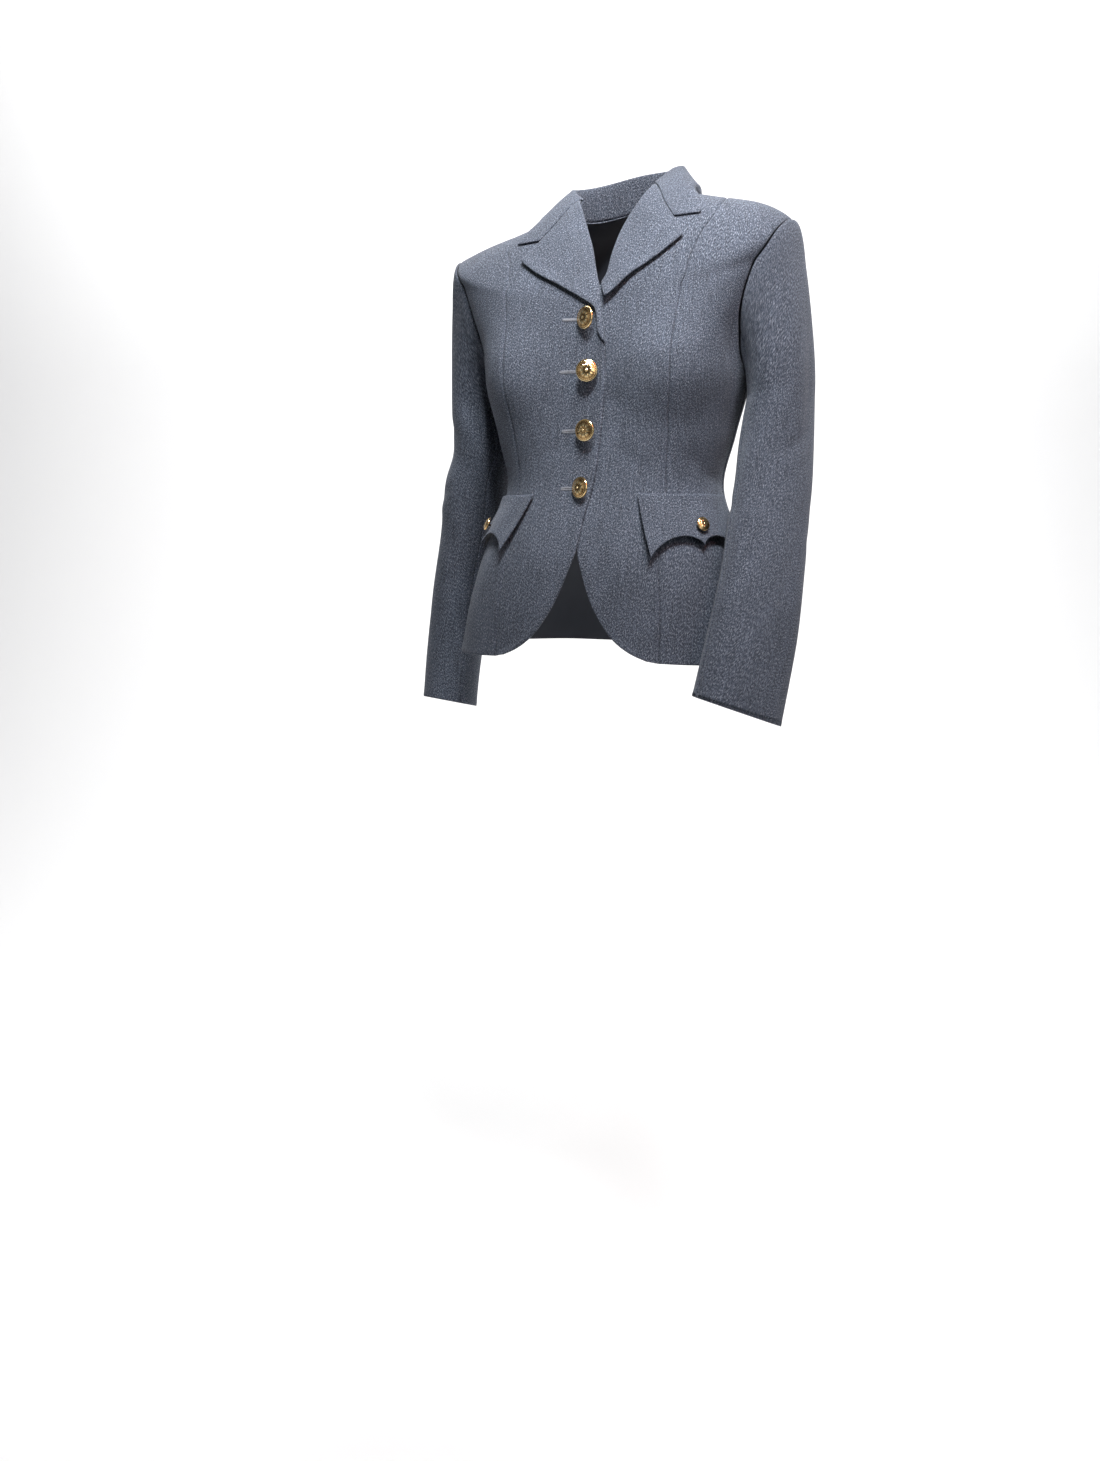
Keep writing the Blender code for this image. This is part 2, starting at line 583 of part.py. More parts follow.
def sleeve_grid(rings, angle, side):
    """A sleeve's outer points at these angles, rows from the armhole to the cuff, as on the left arm."""
    flip = np.array([side, 1, 1])
    flat = sleeve_loop(angle) * flip[:2]
    seam = in_space(flat) * flip
    normal = torso_normal(np.radians(flat[:, 0]), flat[:, 1]) * flip
    top = rings[0][0]
    cuff = CUFF_LEFT if side > 0 else CUFF_RIGHT
    ring = sleeve_ring(rings, angle, top, cuff)
    outside = np.cos(np.radians(angle))
    out = np.column_stack([np.ones_like(angle), -CAP_TURN * np.sin(np.radians(angle)), CAP_RISE * outside])
    out /= np.linalg.norm(out, axis=1, keepdims=True)
    seam = seam + normal * SEAM_LIFT + out * SEAM_STEP
    gap = np.linalg.norm(ring - seam, axis=1)[:, None]
    rows = []
    for s in np.linspace(0, 1, CAP_ROWS + 1)[:-1]:
        blend = ((2 * s ** 3 - 3 * s ** 2 + 1) * seam + (s ** 3 - 2 * s ** 2 + s) * out * gap * CAP_REACH
                 + (3 * s ** 2 - 2 * s ** 3) * ring
                 - (s ** 3 - s ** 2) * UP * gap * CAP_FALL)
        roped = HEAD_ROLL * math.sin(math.pi * min(1, s / HEAD_ROLL_END)) * np.clip(outside, 0, 1)[:, None]
        rows.append(blend + roped * np.array(HEAD_ROLL_WAY))
    for z in np.linspace(top, rings[-1][0], ARM_ROWS + 1):
        rows.append(sleeve_ring(rings, angle, z, cuff))
    return np.array(rows)


def sleeve_fade(grid):
    """Nothing at the armhole and one a little way down the sleeve, so that folds leave the seam alone."""
    steps = np.linalg.norm(np.diff(grid, axis=0), axis=-1)
    away = np.concatenate([np.zeros((1, grid.shape[1])), np.cumsum(steps, axis=0)])
    return np.clip(away / FOLD_FADE, 0, 1)


def sleeve_wall(name, rings, start, end, cells, side):
    """One of a sleeve's two pieces, between two angles round the arm."""
    angle = np.linspace(start, end, cells + 1)
    step = angle[1] - angle[0]
    wide = sleeve_grid(rings, np.concatenate([[start - step], angle, [end + step]]), side)
    normal = grid_normals(wide)[:, 1:-1]
    grid = wide[:, 1:-1]
    centre = np.array([rings[-1][1], rings[-1][2], rings[-1][0]])
    if normal[-1, cells // 2] @ (grid[-1, cells // 2] - centre) < 0:
        normal = -normal
    folds = in_metres(SLEEVE_FOLDS_LEFT if side > 0 else SLEEVE_FOLDS_RIGHT, SLEEVE_RADIUS)
    around = np.radians((angle + 180) % 360 - 180) * SLEEVE_RADIUS
    height = creases(folds, around, -grid[..., 2]) * sleeve_fade(grid)
    grid = inset(grid + normal * height[..., None], SLEEVE_GAP / 2)
    flip = np.array([side, 1, 1])
    return sheet_solid(name, grid * flip, (grid - normal * WALL) * flip)


def turned(profile, sides):
    """A closed turned shape about +Z from (radius, height) points that start and end on the axis."""
    points = [(0, 0, profile[0][1])]
    for radius, height in profile[1:-1]:
        for k in range(sides):
            turn = 2 * math.pi * k / sides
            points.append((radius * math.cos(turn), radius * math.sin(turn), height))
    points.append((0, 0, profile[-1][1]))
    faces = []
    rings = len(profile) - 2
    for k in range(sides):
        after = (k + 1) % sides
        faces.append((0, 1 + after, 1 + k))
        for ring in range(rings - 1):
            low, high = 1 + ring * sides, 1 + (ring + 1) * sides
            faces.append((low + k, low + after, high + after, high + k))
        last = 1 + (rings - 1) * sides
        faces.append((last + k, last + after, len(points) - 1))
    return points, faces


def button(name, radius, stand_off, gap, foot, normal, facing, sides):
    """A domed metal button on its shank: foot is the point on the cloth, facing its axis."""
    shank = SHANK_SHARE * radius
    seat = gap + shank * math.sin(normal.angle(facing))
    top = stand_off + BUTTON_RIM[-1][1]
    profile = [(0, seat), (shank, seat), (shank, stand_off)]
    profile += [(share * radius, stand_off + height) for share, height in BUTTON_RIM]
    profile += [(share * radius, top + rise * radius) for share, rise in BUTTON_DOME]
    points, faces = turned(profile, sides)
    mesh = bpy.data.meshes.new(name)
    mesh.from_pydata(points, [], faces)
    mesh.materials.append(principled("gilt_button", GOLD, GOLD_ROUGHNESS, 1.0))
    mesh.shade_smooth()
    mesh.set_sharp_from_angle(angle=METAL_CORNER)
    piece = bpy.data.objects.new(name, mesh)
    bpy.context.scene.collection.objects.link(piece)
    piece.location = foot
    piece.rotation_mode = "QUATERNION"
    piece.rotation_quaternion = facing.to_track_quat("Z", "Y")
    return piece


def front_buttons():
    for number, (drop, turn, shift, gap) in enumerate(FRONT_BUTTONS, 1):
        half_width = float(smooth(SECTIONS, SECTION_COLUMNS.index("half_width"), np.array(drop)))
        angle = np.array(shift / half_width)
        foot = Vector(cloth(angle, np.array(drop)))
        normal = Vector(torso_normal(angle, np.array(drop)))
        bearing = math.radians(turn)
        facing = Vector((math.sin(bearing), -math.cos(bearing), BUTTON_PITCH * normal.z)).normalized()
        button(f"button_front_{number}", BUTTON_RADIUS, BUTTON_STAND_OFF, gap, foot, normal, facing,
               BUTTON_SIDES)


def flap_buttons():
    for name, side in (("left", 1), ("right", -1)):
        u, v = (np.array(value) for value in FLAP_BUTTON_PLACE)
        point, normal = flap_points(u, v, side)
        facing = Vector(normal)
        button(f"button_flap_{name}", FLAP_BUTTON_RADIUS, FLAP_BUTTON_STAND_OFF, FLAP_BUTTON_GAP,
               Vector(point), facing, facing, FLAP_BUTTON_SIDES)


def clear_scene():
    for thing in list(bpy.data.objects):
        bpy.data.objects.remove(thing, do_unlink=True)


def main():
    clear_scene()
    torso_wall("front_right", mirrored(front_panel(ROLL_OVER)))
    under = front_panel(ROLL_UNDER)
    torso_wall("front_left", under, under_lap(under))
    for name, side, rings in (("left", 1, SLEEVE_LEFT), ("right", -1, SLEEVE_RIGHT)):
        for part, flat in (("side_front", side_front_panel()), ("back", back_panel())):
            torso_wall(f"{part}_{name}", flat if side > 0 else mirrored(flat))
        sleeve_wall(f"sleeve_upper_{name}", rings, HIND_SEAM - 360, FRONT_INSEAM, SLEEVE_UPPER_CELLS, side)
        sleeve_wall(f"sleeve_under_{name}", rings, FRONT_INSEAM, HIND_SEAM, SLEEVE_UNDER_CELLS, side)
        flap(f"flap_{name}", side)
    over_roll = LAPEL_OVER_ROLL + ROLL_OVER[1:]
    over = lapel_panel(LAPEL_OVER_EDGE, over_roll, (LAPEL_OVER_ROLL[0], LAPEL_OVER_EDGE[0]))
    lapel_wall("lapel_right", over, -1)
    start = (LAPEL_UNDER_START,) + ROLL_UNDER[3:]
    below = lapel_panel(LAPEL_UNDER_EDGE, start, (LAPEL_UNDER_START, LAPEL_UNDER_EDGE[0]))
    lapel_wall("lapel_left", below, 1)
    collar()
    front_buttons()
    flap_buttons()


main()
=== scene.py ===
import math

import bpy
import numpy as np
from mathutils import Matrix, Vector


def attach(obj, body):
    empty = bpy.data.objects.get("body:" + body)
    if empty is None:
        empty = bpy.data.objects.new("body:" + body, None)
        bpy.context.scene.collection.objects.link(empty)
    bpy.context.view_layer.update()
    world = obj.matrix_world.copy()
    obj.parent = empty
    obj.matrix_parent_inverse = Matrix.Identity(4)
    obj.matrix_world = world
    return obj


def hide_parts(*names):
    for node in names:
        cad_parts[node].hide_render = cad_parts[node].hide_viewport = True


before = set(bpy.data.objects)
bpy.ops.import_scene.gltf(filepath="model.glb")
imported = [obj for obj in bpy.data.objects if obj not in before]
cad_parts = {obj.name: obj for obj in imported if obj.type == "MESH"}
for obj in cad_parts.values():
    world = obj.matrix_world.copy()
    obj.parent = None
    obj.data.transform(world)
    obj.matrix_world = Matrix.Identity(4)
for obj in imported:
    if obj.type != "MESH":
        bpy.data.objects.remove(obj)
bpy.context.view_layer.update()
print("frame loaded")

# The jacket's surface is worked out from the same sizes as the solids, on a finer grid, in metres.
# +Z is up, the front faces -Y and the wearer's left is +X.
up = np.array([0.0, 0.0, 1.0])


# Long tables are in millimetres, apart from the columns given as plain
def metres(rows, *plain):
    scale = np.full(len(rows[0]), 0.001)
    scale[list(plain)] = 1
    return np.array(rows) * scale


sectionColumns = ("drop", "frontDrop", "backDrop", "halfWidth", "front", "back", "bust", "crest")
sections = metres((
    (0, 40, -8, 66, 62, 60, 0, 3.6),
    (13, 74, 18, 118, 82, 84, 0, 2.6),
    (23, 94, 40, 163, 92, 96, 0, 2.2),
    (33, 104, 60, 190, 97, 104, 0, 2.0),
    (42, 112, 74, 205, 100, 108, 0, 2.0),
    (75, 128, 100, 200, 104, 113, 2, 2.0),
    (108, 146, 125, 187, 106, 114, 6, 2.0),
    (142, 166, 152, 173, 107, 113, 13, 2.0),
    (175, 186, 179, 164, 107, 110, 21, 2.0),
    (205, 208, 206, 161, 107, 105, 22, 2.0),
    (265, 265, 265, 147, 105, 86, 8, 2.0),
    (330, 330, 330, 135, 112, 72, 0, 2.0),
    (370, 370, 370, 148, 126, 80, 0, 2.0),
    (405, 405, 405, 164, 138, 92, 0, 2.0),
    (460, 460, 460, 182, 149, 106, 0, 2.0),
    (530, 530, 530, 197, 157, 116, 0, 2.0),
), 7)
bodyForm = {
    "squareness": 0.05, "bustAngle": math.radians(36), "bustSpread": math.radians(20), "bustSideways": 0.4,
    "lean": 0.09, "leanSideways": 0.09, "leanEnd": 0.075, "leanMost": 1.2,
}

# Folds: angle, drop, length, width, height and lean. Lean turns one from upright, and negative
# heights are troughs. The first 14 are the largest, which the solids have too.
bodyFolds = (
    (52, 466, 75, 21, 3.4, 4), (73, 474, 65, 19, -3, -3), (101, 462, 70, 22, 3.8, 5),
    (146, 468, 75, 26, 4.2, 2), (61, 158, 40, 15, -2.6, 24), (121, 150, 60, 17, 3.2, -10),
    (138, 322, 55, 18, -2.4, 84), (-47, 458, 66, 20, 3, -5), (-68, 470, 70, 18, -2.8, 3),
    (-98, 455, 64, 23, 3.4, -4), (-149, 470, 78, 25, 3.8, -3), (-58, 150, 36, 16, -2.4, -28),
    (-124, 156, 56, 18, 2.8, 12), (-142, 330, 50, 19, -2.2, -82), (54, 128, 34, 10, 1.3, 22),
    (70, 226, 36, 10, -1.5, 14), (56, 302, 28, 8.5, -1.4, 68), (74, 318, 24, 7, -1.5, 82),
    (64, 341, 30, 8, 1.2, 78), (21, 296, 26, 8, -1, 62), (13, 234, 26, 8.5, -0.9, 58),
    (9, 402, 60, 12, -1.1, 12), (133, 176, 60, 11, -1.6, -6), (152, 345, 34, 9, -1.3, 86),
    (126, 344, 30, 8, 1.2, 76), (160, 130, 45, 12, 1, 70), (-52, 120, 30, 11, 1.5, -20),
    (-66, 212, 44, 12, -1.8, -10), (-53, 262, 34, 9.5, 1.3, -32), (-60, 298, 26, 8, -1.4, -70),
    (-71, 322, 30, 7.5, -1.6, -80), (-56, 340, 24, 8, 1.1, -75), (-17, 288, 26, 8, -1, -66),
    (-12, 226, 22, 8, -0.8, -55), (-137, 182, 58, 12, -1.5, 8), (-154, 350, 32, 8.5, -1.2, -84),
    (-128, 346, 32, 8, 1.1, -74), (-163, 122, 40, 11, 0.9, -66),
)


def unit(vectors):
    return vectors / np.maximum(np.linalg.norm(vectors, axis=-1, keepdims=True), 1e-12)


def hump(distance, width):
    return np.exp(-(distance / width) ** 2)


def circle(count):
    return np.linspace(0, 2 * math.pi, count, endpoint=False)


def slopes(x, y):
    steps = np.diff(x)
    rises = np.diff(y) / steps
    inner = (rises[:-1] * steps[1:] + rises[1:] * steps[:-1]) / (steps[1:] + steps[:-1])
    return np.concatenate([rises[:1], inner, rises[-1:]])


def smooth(rows, column, at):
    table = np.array(rows, float)
    x, y = table[:, 0], table[:, column]
    m = slopes(x, y)
    row = np.clip(np.searchsorted(x, at) - 1, 0, len(x) - 2)
    step = x[row + 1] - x[row]
    s = (at - x[row]) / step
    value = (y[row] * (1 + 2 * s) * (1 - s) ** 2 + y[row + 1] * s * s * (3 - 2 * s)
             + step * (m[row] * s * (1 - s) ** 2 - m[row + 1] * s * s * (1 - s)))
    return np.where(at < x[0], y[0] + m[0] * (at - x[0]), value)


def torso(angle, drop):
    sine, cosine = np.sin(angle), np.cos(angle)
    ring = {name: smooth(sections, k, drop) for k, name in enumerate(sectionColumns) if k}
    ahead = cosine > 0
    depth = np.where(ahead, ring["front"], ring["back"])
    middle = np.where(ahead, ring["frontDrop"], ring["backDrop"])
    square = 1 + bodyForm["squareness"] * np.sin(2 * angle) ** 2
    bust = ring["bust"] * hump(np.abs(angle) - bodyForm["bustAngle"], bodyForm["bustSpread"])
    x = ring["halfWidth"] * sine * square + bodyForm["bustSideways"] * bust * np.sign(angle)
    y = -depth * cosine * square - bust
    z = -(drop + (middle - drop) * np.abs(cosine) ** ring["crest"])
    ease = np.clip(1 - drop / bodyForm["leanEnd"], 0, bodyForm["leanMost"])
    lean = bodyForm["lean"] * ease * ease * (2 - ease)
    return np.stack([x + bodyForm["leanSideways"] * lean, y, z + lean * x], -1)


def torsoNormal(angle, drop, step=0.002):
    along = torso(angle + step, drop) - torso(angle - step, drop)
    down = torso(angle, drop + step) - torso(angle, drop - step)
    return unit(np.cross(down, along))


def creases(rows, across, along):
    total = np.zeros(np.broadcast(across, along).shape)
    for a0, d0, length, width, height, lean in rows:
        turn = math.radians(lean)
        side, down = across - a0, along - d0
        p = side * math.cos(turn) - down * math.sin(turn)
        q = side * math.sin(turn) + down * math.cos(turn)
        total = total + height * np.exp(-(p / width) ** 2 - (q / length) ** 2)
    return total


def foldRows(folds, radius):
    rows = metres(folds, 0, 5)
    rows[:, 0] = np.radians(rows[:, 0]) * radius
    return rows


clothRadius = 0.155  # turns a fold's angle round the torso into a length
bodyRows = foldRows(bodyFolds, clothRadius)


def cloth(angle, drop):
    height = creases(bodyRows, angle * clothRadius, drop)
    return torso(angle, drop) + torsoNormal(angle, drop) * height[..., None]


def inSpace(flat):
    return torso(np.radians(flat[..., 0]), flat[..., 1])


def lengths(points, axis):
    steps = np.linalg.norm(np.diff(points, axis=axis), axis=-1)
    shape = list(steps.shape)
    shape[axis] = 1
    return np.concatenate([np.zeros(shape), np.cumsum(steps, axis=axis)], axis=axis)


# A smooth curve through the points, at even steps on the torso
def spaced(points, count=241, fineCount=400):
    points = np.array(points, float)
    rows = np.column_stack([lengths(inSpace(points), 0), points])
    fine = np.linspace(0, rows[-1, 0], fineCount)
    curve = np.column_stack([smooth(rows, 1, fine), smooth(rows, 2, fine)])
    length = lengths(inSpace(curve), 0)
    at = np.linspace(0, length[-1], count)
    return np.column_stack([np.interp(at, length, curve[:, 0]), np.interp(at, length, curve[:, 1])])


# A run of curves end to end, each taking its share of the cells, read at places from 0 to 1
def runs(*pieces):
    total = sum(cells for _, cells in pieces)
    breaks = np.concatenate([[0], np.cumsum([cells for _, cells in pieces])]) / total

    def at(v):
        piece = np.clip(np.searchsorted(breaks, v, side="right") - 1, 0, len(pieces) - 1)
        flat = np.empty((len(v), 2))
        for k, (curve, _) in enumerate(pieces):
            mine = piece == k
            t = (v[mine] - breaks[k]) / (breaks[k + 1] - breaks[k]) * (len(curve) - 1)
            for column in (0, 1):
                flat[mine, column] = np.interp(t, np.arange(len(curve)), np.array(curve)[:, column])
        return flat

    return at, breaks


edgeRows = np.array((0.00012, 0.0004, 0.0009, 0.0018, 0.0034))  # distances of rows from a rounded edge
leastStep = 0.3  # rows nearer to those than this share of a step are left out


# Places from 0 to 1 about a step apart, closer together at both ends, where the cloth's edge is rounded
def places(breaks, length, step):
    counts = [max(2, int(round((b - a) * length / step)) + 1) for a, b in zip(breaks[:-1], breaks[1:])]
    found = [np.linspace(a, b, count) for a, b, count in zip(breaks[:-1], breaks[1:], counts)]
    near = edgeRows / length
    found = np.unique(np.round(np.concatenate(found + [near, 1 - near]), 7))
    fixed = np.concatenate([near, 1 - near, np.array(breaks)])
    close = np.abs(found[:, None] - fixed[None]).min(1)
    crowded = (close > 1e-6) & (close < leastStep * step / length)
    return found[~crowded]


# A surface between four edges. The higher the reach, the nearer to the head the head's curve stays.
def patch(left, right, foot, head, u, v, reach=6):
    lefts, rights, feet, heads = left(v), right(v), foot(u), head(u)
    a, b = u[None, :, None], v[:, None, None]
    footBend = feet[None] - (1 - a) * feet[0] - a * feet[-1]
    headBend = heads[None] - (1 - a) * heads[0] - a * heads[-1]
    return (1 - a) * lefts[:, None] + a * rights[:, None] + (1 - b) * footBend + b ** reach * headBend


def inset(grid, amount):
    grid = grid.copy()
    for axis in (0, 1):
        rows = np.moveaxis(grid, axis, 0)
        for edge, inner in ((0, 3), (-1, -4)):
            step = rows[inner] - rows[edge]
            length = np.maximum(np.linalg.norm(step, axis=-1, keepdims=True), 1e-9)
            move = step / length * np.minimum(amount, 0.3 * length)
            for k in range(3):
                rows[edge + k if edge == 0 else edge - k] += move
    return grid


def gridNormals(grid):
    return unit(np.cross(np.gradient(grid, axis=0), np.gradient(grid, axis=1)))


def addToScene(name, data):
    made = bpy.data.objects.new(name, data)
    bpy.context.scene.collection.objects.link(made)
    return made


# A mesh object at the origin. Which says the number of each face's material.
def addObject(name, points, faces, materials=(), edges=(), which=None):
    mesh = bpy.data.meshes.new(name)
    mesh.from_pydata(points.tolist(), edges, faces)
    for material in materials:
        mesh.materials.append(material)
    if which is not None:
        mesh.polygons.foreach_set("material_index", which)
    mesh.shade_smooth()
    return addToScene(name, mesh)


# A UV map from one place for each point of the mesh
def addUv(piece, name, uv):
    corners = np.empty(len(piece.data.loops), np.int32)
    piece.data.loops.foreach_get("vertex_index", corners)
    layer = piece.data.uv_layers.new(name=name)
    layer.data.foreach_set("uv", uv[corners].astype(np.float32).reshape(-1))


shellForm = {
    "wall": 0.0018, "gap": 0.00003, "seamTurn": 0.0008, "seamDip": 0.001, "seamWidth": 0.0015,
    "turnedRise": 0.00035, "turnedAt": 0.0042, "turnedWidth": 0.003, "raise": 0.0024, "raiseWidth": 0.0095,
    "cutEase": 1.02,
}


# The cloth piece stands for its solid, which is hidden. The cloth piece stands for its
# solid, as a sheet cut a little larger than what shows
def sew(name, piece, width, length):
    area = 0.5 * sum(polygon.area for polygon in piece.data.polygons)
    width, ease = max(width, area / length), shellForm["cutEase"]
    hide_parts(name)
    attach(piece, "root")
    print(f"{name}: cut {width:.3f} x {length:.3f} m, area {area:.4f}")


# A closed thin shell of cloth. Kinds says whether its foot, head, start and end are seam, free or raised.
def shell(name, outer, normal, uv, kinds, wall=shellForm["wall"], inner=None):
    form = shellForm
    rows, columns = lengths(outer, 0), lengths(outer, 1)
    distances = (rows, rows[-1:] - rows, columns, columns[:, -1:] - columns)
    rounding, under, shift, raised = np.zeros((4, *rows.shape))
    for distance, kind in zip(distances, kinds.split()):
        radius = form["seamTurn"] if kind == "seam" else wall / 2
        t = np.clip(1 - distance / radius, 0, 1)
        turn = radius * (1 - np.sqrt(np.clip(1 - t * t, 0, 1)))
        rounding = np.maximum(rounding, turn)
        if kind == "seam":
            shift -= form["seamDip"] * hump(distance, form["seamWidth"])
        else:
            under = np.maximum(under, turn)
            shift += form["turnedRise"] * hump(distance - form["turnedAt"], form["turnedWidth"])
        if kind == "raised":
            raised += form["raise"] * hump(distance, form["raiseWidth"])
    width, length = float(distances[3][:, 0].max()), float(distances[1][0].max())
    outer = inset(outer, form["gap"]) + normal * raised[..., None]
    face = outer + normal * (shift - rounding)[..., None]
    lining = outer + normal * (np.minimum(shift, 0) - wall + under)[..., None]
    rows, columns = rows.shape
    index = np.arange(rows * columns).reshape(rows, columns)
    top = np.stack([index[:-1, :-1], index[:-1, 1:], index[1:, 1:], index[1:, :-1]], -1).reshape(-1, 4)
    back = top[:, ::-1] + rows * columns
    ring = np.concatenate([index[0, :-1], index[:-1, -1], index[-1, :0:-1], index[:0:-1, 0]])
    after = np.roll(ring, -1)
    rim = np.stack([ring, ring + rows * columns, after + rows * columns, after], -1)
    points = np.concatenate([face.reshape(-1, 3), lining.reshape(-1, 3)])
    faces = np.concatenate([top, back, rim])
    corners = points[faces]
    volume = np.linalg.det(corners[:, :3]).sum() + np.linalg.det(corners[:, [0, 2, 3]]).sum()
    if volume < 0:
        faces = faces[:, ::-1]
    inside = np.zeros(len(faces), np.int32)
    inside[len(top):2 * len(top)] = 1
    piece = addObject("cloth_" + name, points, faces.tolist(), (wool, inner or liningCloth), which=inside)
    addUv(piece, "cloth", np.concatenate([uv.reshape(-1, 2)] * 2))
    sew(name, piece, width, length)


# Shader sums are written as plain expressions on a node's output
class Wire:
    def __init__(self, tree, socket):
        self.tree, self.socket = tree, socket

    def sum(self, operation, first, second=None):
        return addNode(self.tree, "ShaderNodeMath", {"operation": operation}, first, second)

    def sine(self):
        return self.sum("SINE", self)


for word, operation in (("add", "ADD"), ("sub", "SUBTRACT"), ("mul", "MULTIPLY")):
    setattr(Wire, f"__{word}__", lambda self, other, kind=operation: self.sum(kind, self, other))
    setattr(Wire, f"__r{word}__", lambda self, other, kind=operation: self.sum(kind, other, self))


# A shader node with its settings, then the values or wires of its first sockets and of those named
def addNode(tree, kind, settings=None, *first, **named):
    made = tree.nodes.new(kind)
    for key, value in (settings or {}).items():
        setattr(made, key, value)
    slots = list(made.inputs)[:len(first)] + [made.inputs[key.replace("_", " ")] for key in named]
    for slot, value in zip(slots, (*first, *named.values())):
        if isinstance(value, Wire):
            tree.links.new(value.socket, slot)
        elif value is not None:
            slot.default_value = value
    return Wire(tree, made.outputs[0])


class Shader:
    def __init__(self, name, **settings):
        self.material = bpy.data.materials.new(name)
        self.material.use_nodes = True
        self.tree = self.material.node_tree
        self.surface = self.tree.nodes["Principled BSDF"]
        for socket, value in settings.items():
            self.surface.inputs[socket.replace("_", " ")].default_value = value

    def node(self, *settings, **named):
        return addNode(self.tree, *settings, **named)

    def uvMap(self, name):
        return self.node("ShaderNodeUVMap", {"uv_map": name})

    def noise(self, vector, scale, detail=2.0, roughness=0.5):
        return self.node("ShaderNodeTexNoise", {"noise_dimensions": "3D"}, Vector=vector, Scale=scale,
                         Detail=detail, Roughness=roughness)

    def stretched(self, vector, across, along):
        return self.node("ShaderNodeVectorMath", {"operation": "MULTIPLY"}, vector, (across, along, 1))

    def parts(self, vector):
        made = self.node("ShaderNodeSeparateXYZ", None, vector).socket.node
        return Wire(self.tree, made.outputs[0]), Wire(self.tree, made.outputs[1])

    def ramp(self, value, places, colours):
        wire = self.node("ShaderNodeValToRGB", None, value)
        elements = wire.socket.node.color_ramp.elements
        while len(elements) < len(places):
            elements.new(0.5)
        for element, place, colour in zip(elements, places, colours):
            element.position = place
            element.color = (*colour, 1)
        return wire

    def tinted(self, colour, amount):
        return self.node("ShaderNodeVectorMath", {"operation": "SCALE"}, colour, Scale=amount)

    def link(self, wire, socket):
        self.tree.links.new(wire.socket, self.surface.inputs[socket])

    def bump(self, height, distance, strength):
        made = self.node("ShaderNodeBump", None, Height=height, Distance=distance, Strength=strength)
        self.link(made, "Normal")


serge = {  # colours: dark fleck, ground, blue and light fleck
    "colours": ((0.0165, 0.0205, 0.03), (0.0405, 0.0485, 0.066), (0.067, 0.079, 0.108), (0.238, 0.258, 0.3)),
    "stops": (0.38, 0.47, 0.54, 0.65),
    "fleckScale": 840.0, "fleckAlong": 0.62, "fleckHeight": 2.4, "streakAcross": 400.0, "streakAlong": 30.0,
    "streakDepth": 1.1, "cloudScale": 14.0, "cloudDepth": 0.5, "twillPitch": 0.0011, "twillLean": 0.8,
    "twillHeight": 0.4, "bumpDistance": 0.00022, "bumpStrength": 0.6,
}


def makeSerge():
    shader = Shader("woolSerge", Roughness=0.84, Sheen_Weight=0.12, Sheen_Roughness=0.42,
                    Sheen_Tint=(0.84, 0.89, 1.0, 1.0), Specular_IOR_Level=0.24)
    uv = shader.uvMap("cloth")
    fleck = shader.noise(shader.stretched(uv, 1.0, serge["fleckAlong"]), serge["fleckScale"], 3.0, 0.72)
    colour = shader.ramp(fleck, serge["stops"], serge["colours"])
    streak = shader.noise(shader.stretched(uv, serge["streakAcross"], serge["streakAlong"]), 1.0, 2.0, 0.6)
    cloud = shader.noise(uv, serge["cloudScale"])
    amount = 1 + (streak - 0.5) * serge["streakDepth"] + (cloud - 0.5) * serge["cloudDepth"]
    shader.link(shader.tinted(colour, amount), "Base Color")
    across, along = shader.parts(uv)
    twill = ((across + along * serge["twillLean"]) * (2 * math.pi / serge["twillPitch"])).sine()
    height = twill * serge["twillHeight"] + fleck * serge["fleckHeight"]
    shader.bump(height, serge["bumpDistance"], serge["bumpStrength"])
    return shader.material


lining = {"colour": (0.03, 0.034, 0.046, 1.0), "across": 900.0, "along": 240.0, "bumpDistance": 0.0001,
          "bumpStrength": 0.3}


def makeLining():
    shader = Shader("liningCloth", Base_Color=lining["colour"], Roughness=0.55, Sheen_Weight=0.1,
                    Specular_IOR_Level=0.35)
    uv = shader.uvMap("cloth")
    threads = shader.noise(shader.stretched(uv, lining["across"], lining["along"]), 1.0)
    shader.bump(threads, lining["bumpDistance"], lining["bumpStrength"])
    return shader.material


# Matte thread cloth, also used near-black as the buttonholes' painted shadow
def makeThreadAndShadow(name, colour):
    return Shader(name, Base_Color=(*colour, 1.0), Roughness=0.62, Sheen_Weight=0.15,
                  Specular_IOR_Level=0.4).material


gilt = {  # colours: deep for painted shade, warm, and bright for painted highlight
    "colours": ((0.3, 0.15, 0.05), (0.86, 0.56, 0.24), (1.0, 0.82, 0.46)), "stops": (0.1, 0.34, 0.52),
    "reliefShadeShare": 0.8, "blotchShare": 0.3, "blotchScale": 3.0,
}


def makeGilt():
    shader = Shader("giltMetal", Metallic=1.0, Roughness=0.17, Coat_Weight=0.35, Coat_Roughness=0.06)
    side, height = shader.parts(shader.uvMap("relief"))
    blotch = shader.noise(side, gilt["blotchScale"])
    # Colour runs from deep to bright with the relief map's tone, as painted shade in the hollows and painted
    # highlight on the raised relief, varied by random blotches
    shade = height * gilt["reliefShadeShare"] + blotch * gilt["blotchShare"]
    shader.link(shader.ramp(shade, gilt["stops"], gilt["colours"]), "Base Color")
    return shader.material


wool = makeSerge()
liningCloth = makeLining()
threadGrey = makeThreadAndShadow("buttonholeThread", (0.2, 0.21, 0.235))
# Near-black cloth that paints the shadow inside each buttonhole's slit
paintedSlitShadow = makeThreadAndShadow("slitShadow", (0.012, 0.013, 0.018))
giltMetal = makeGilt()
print("materials made")

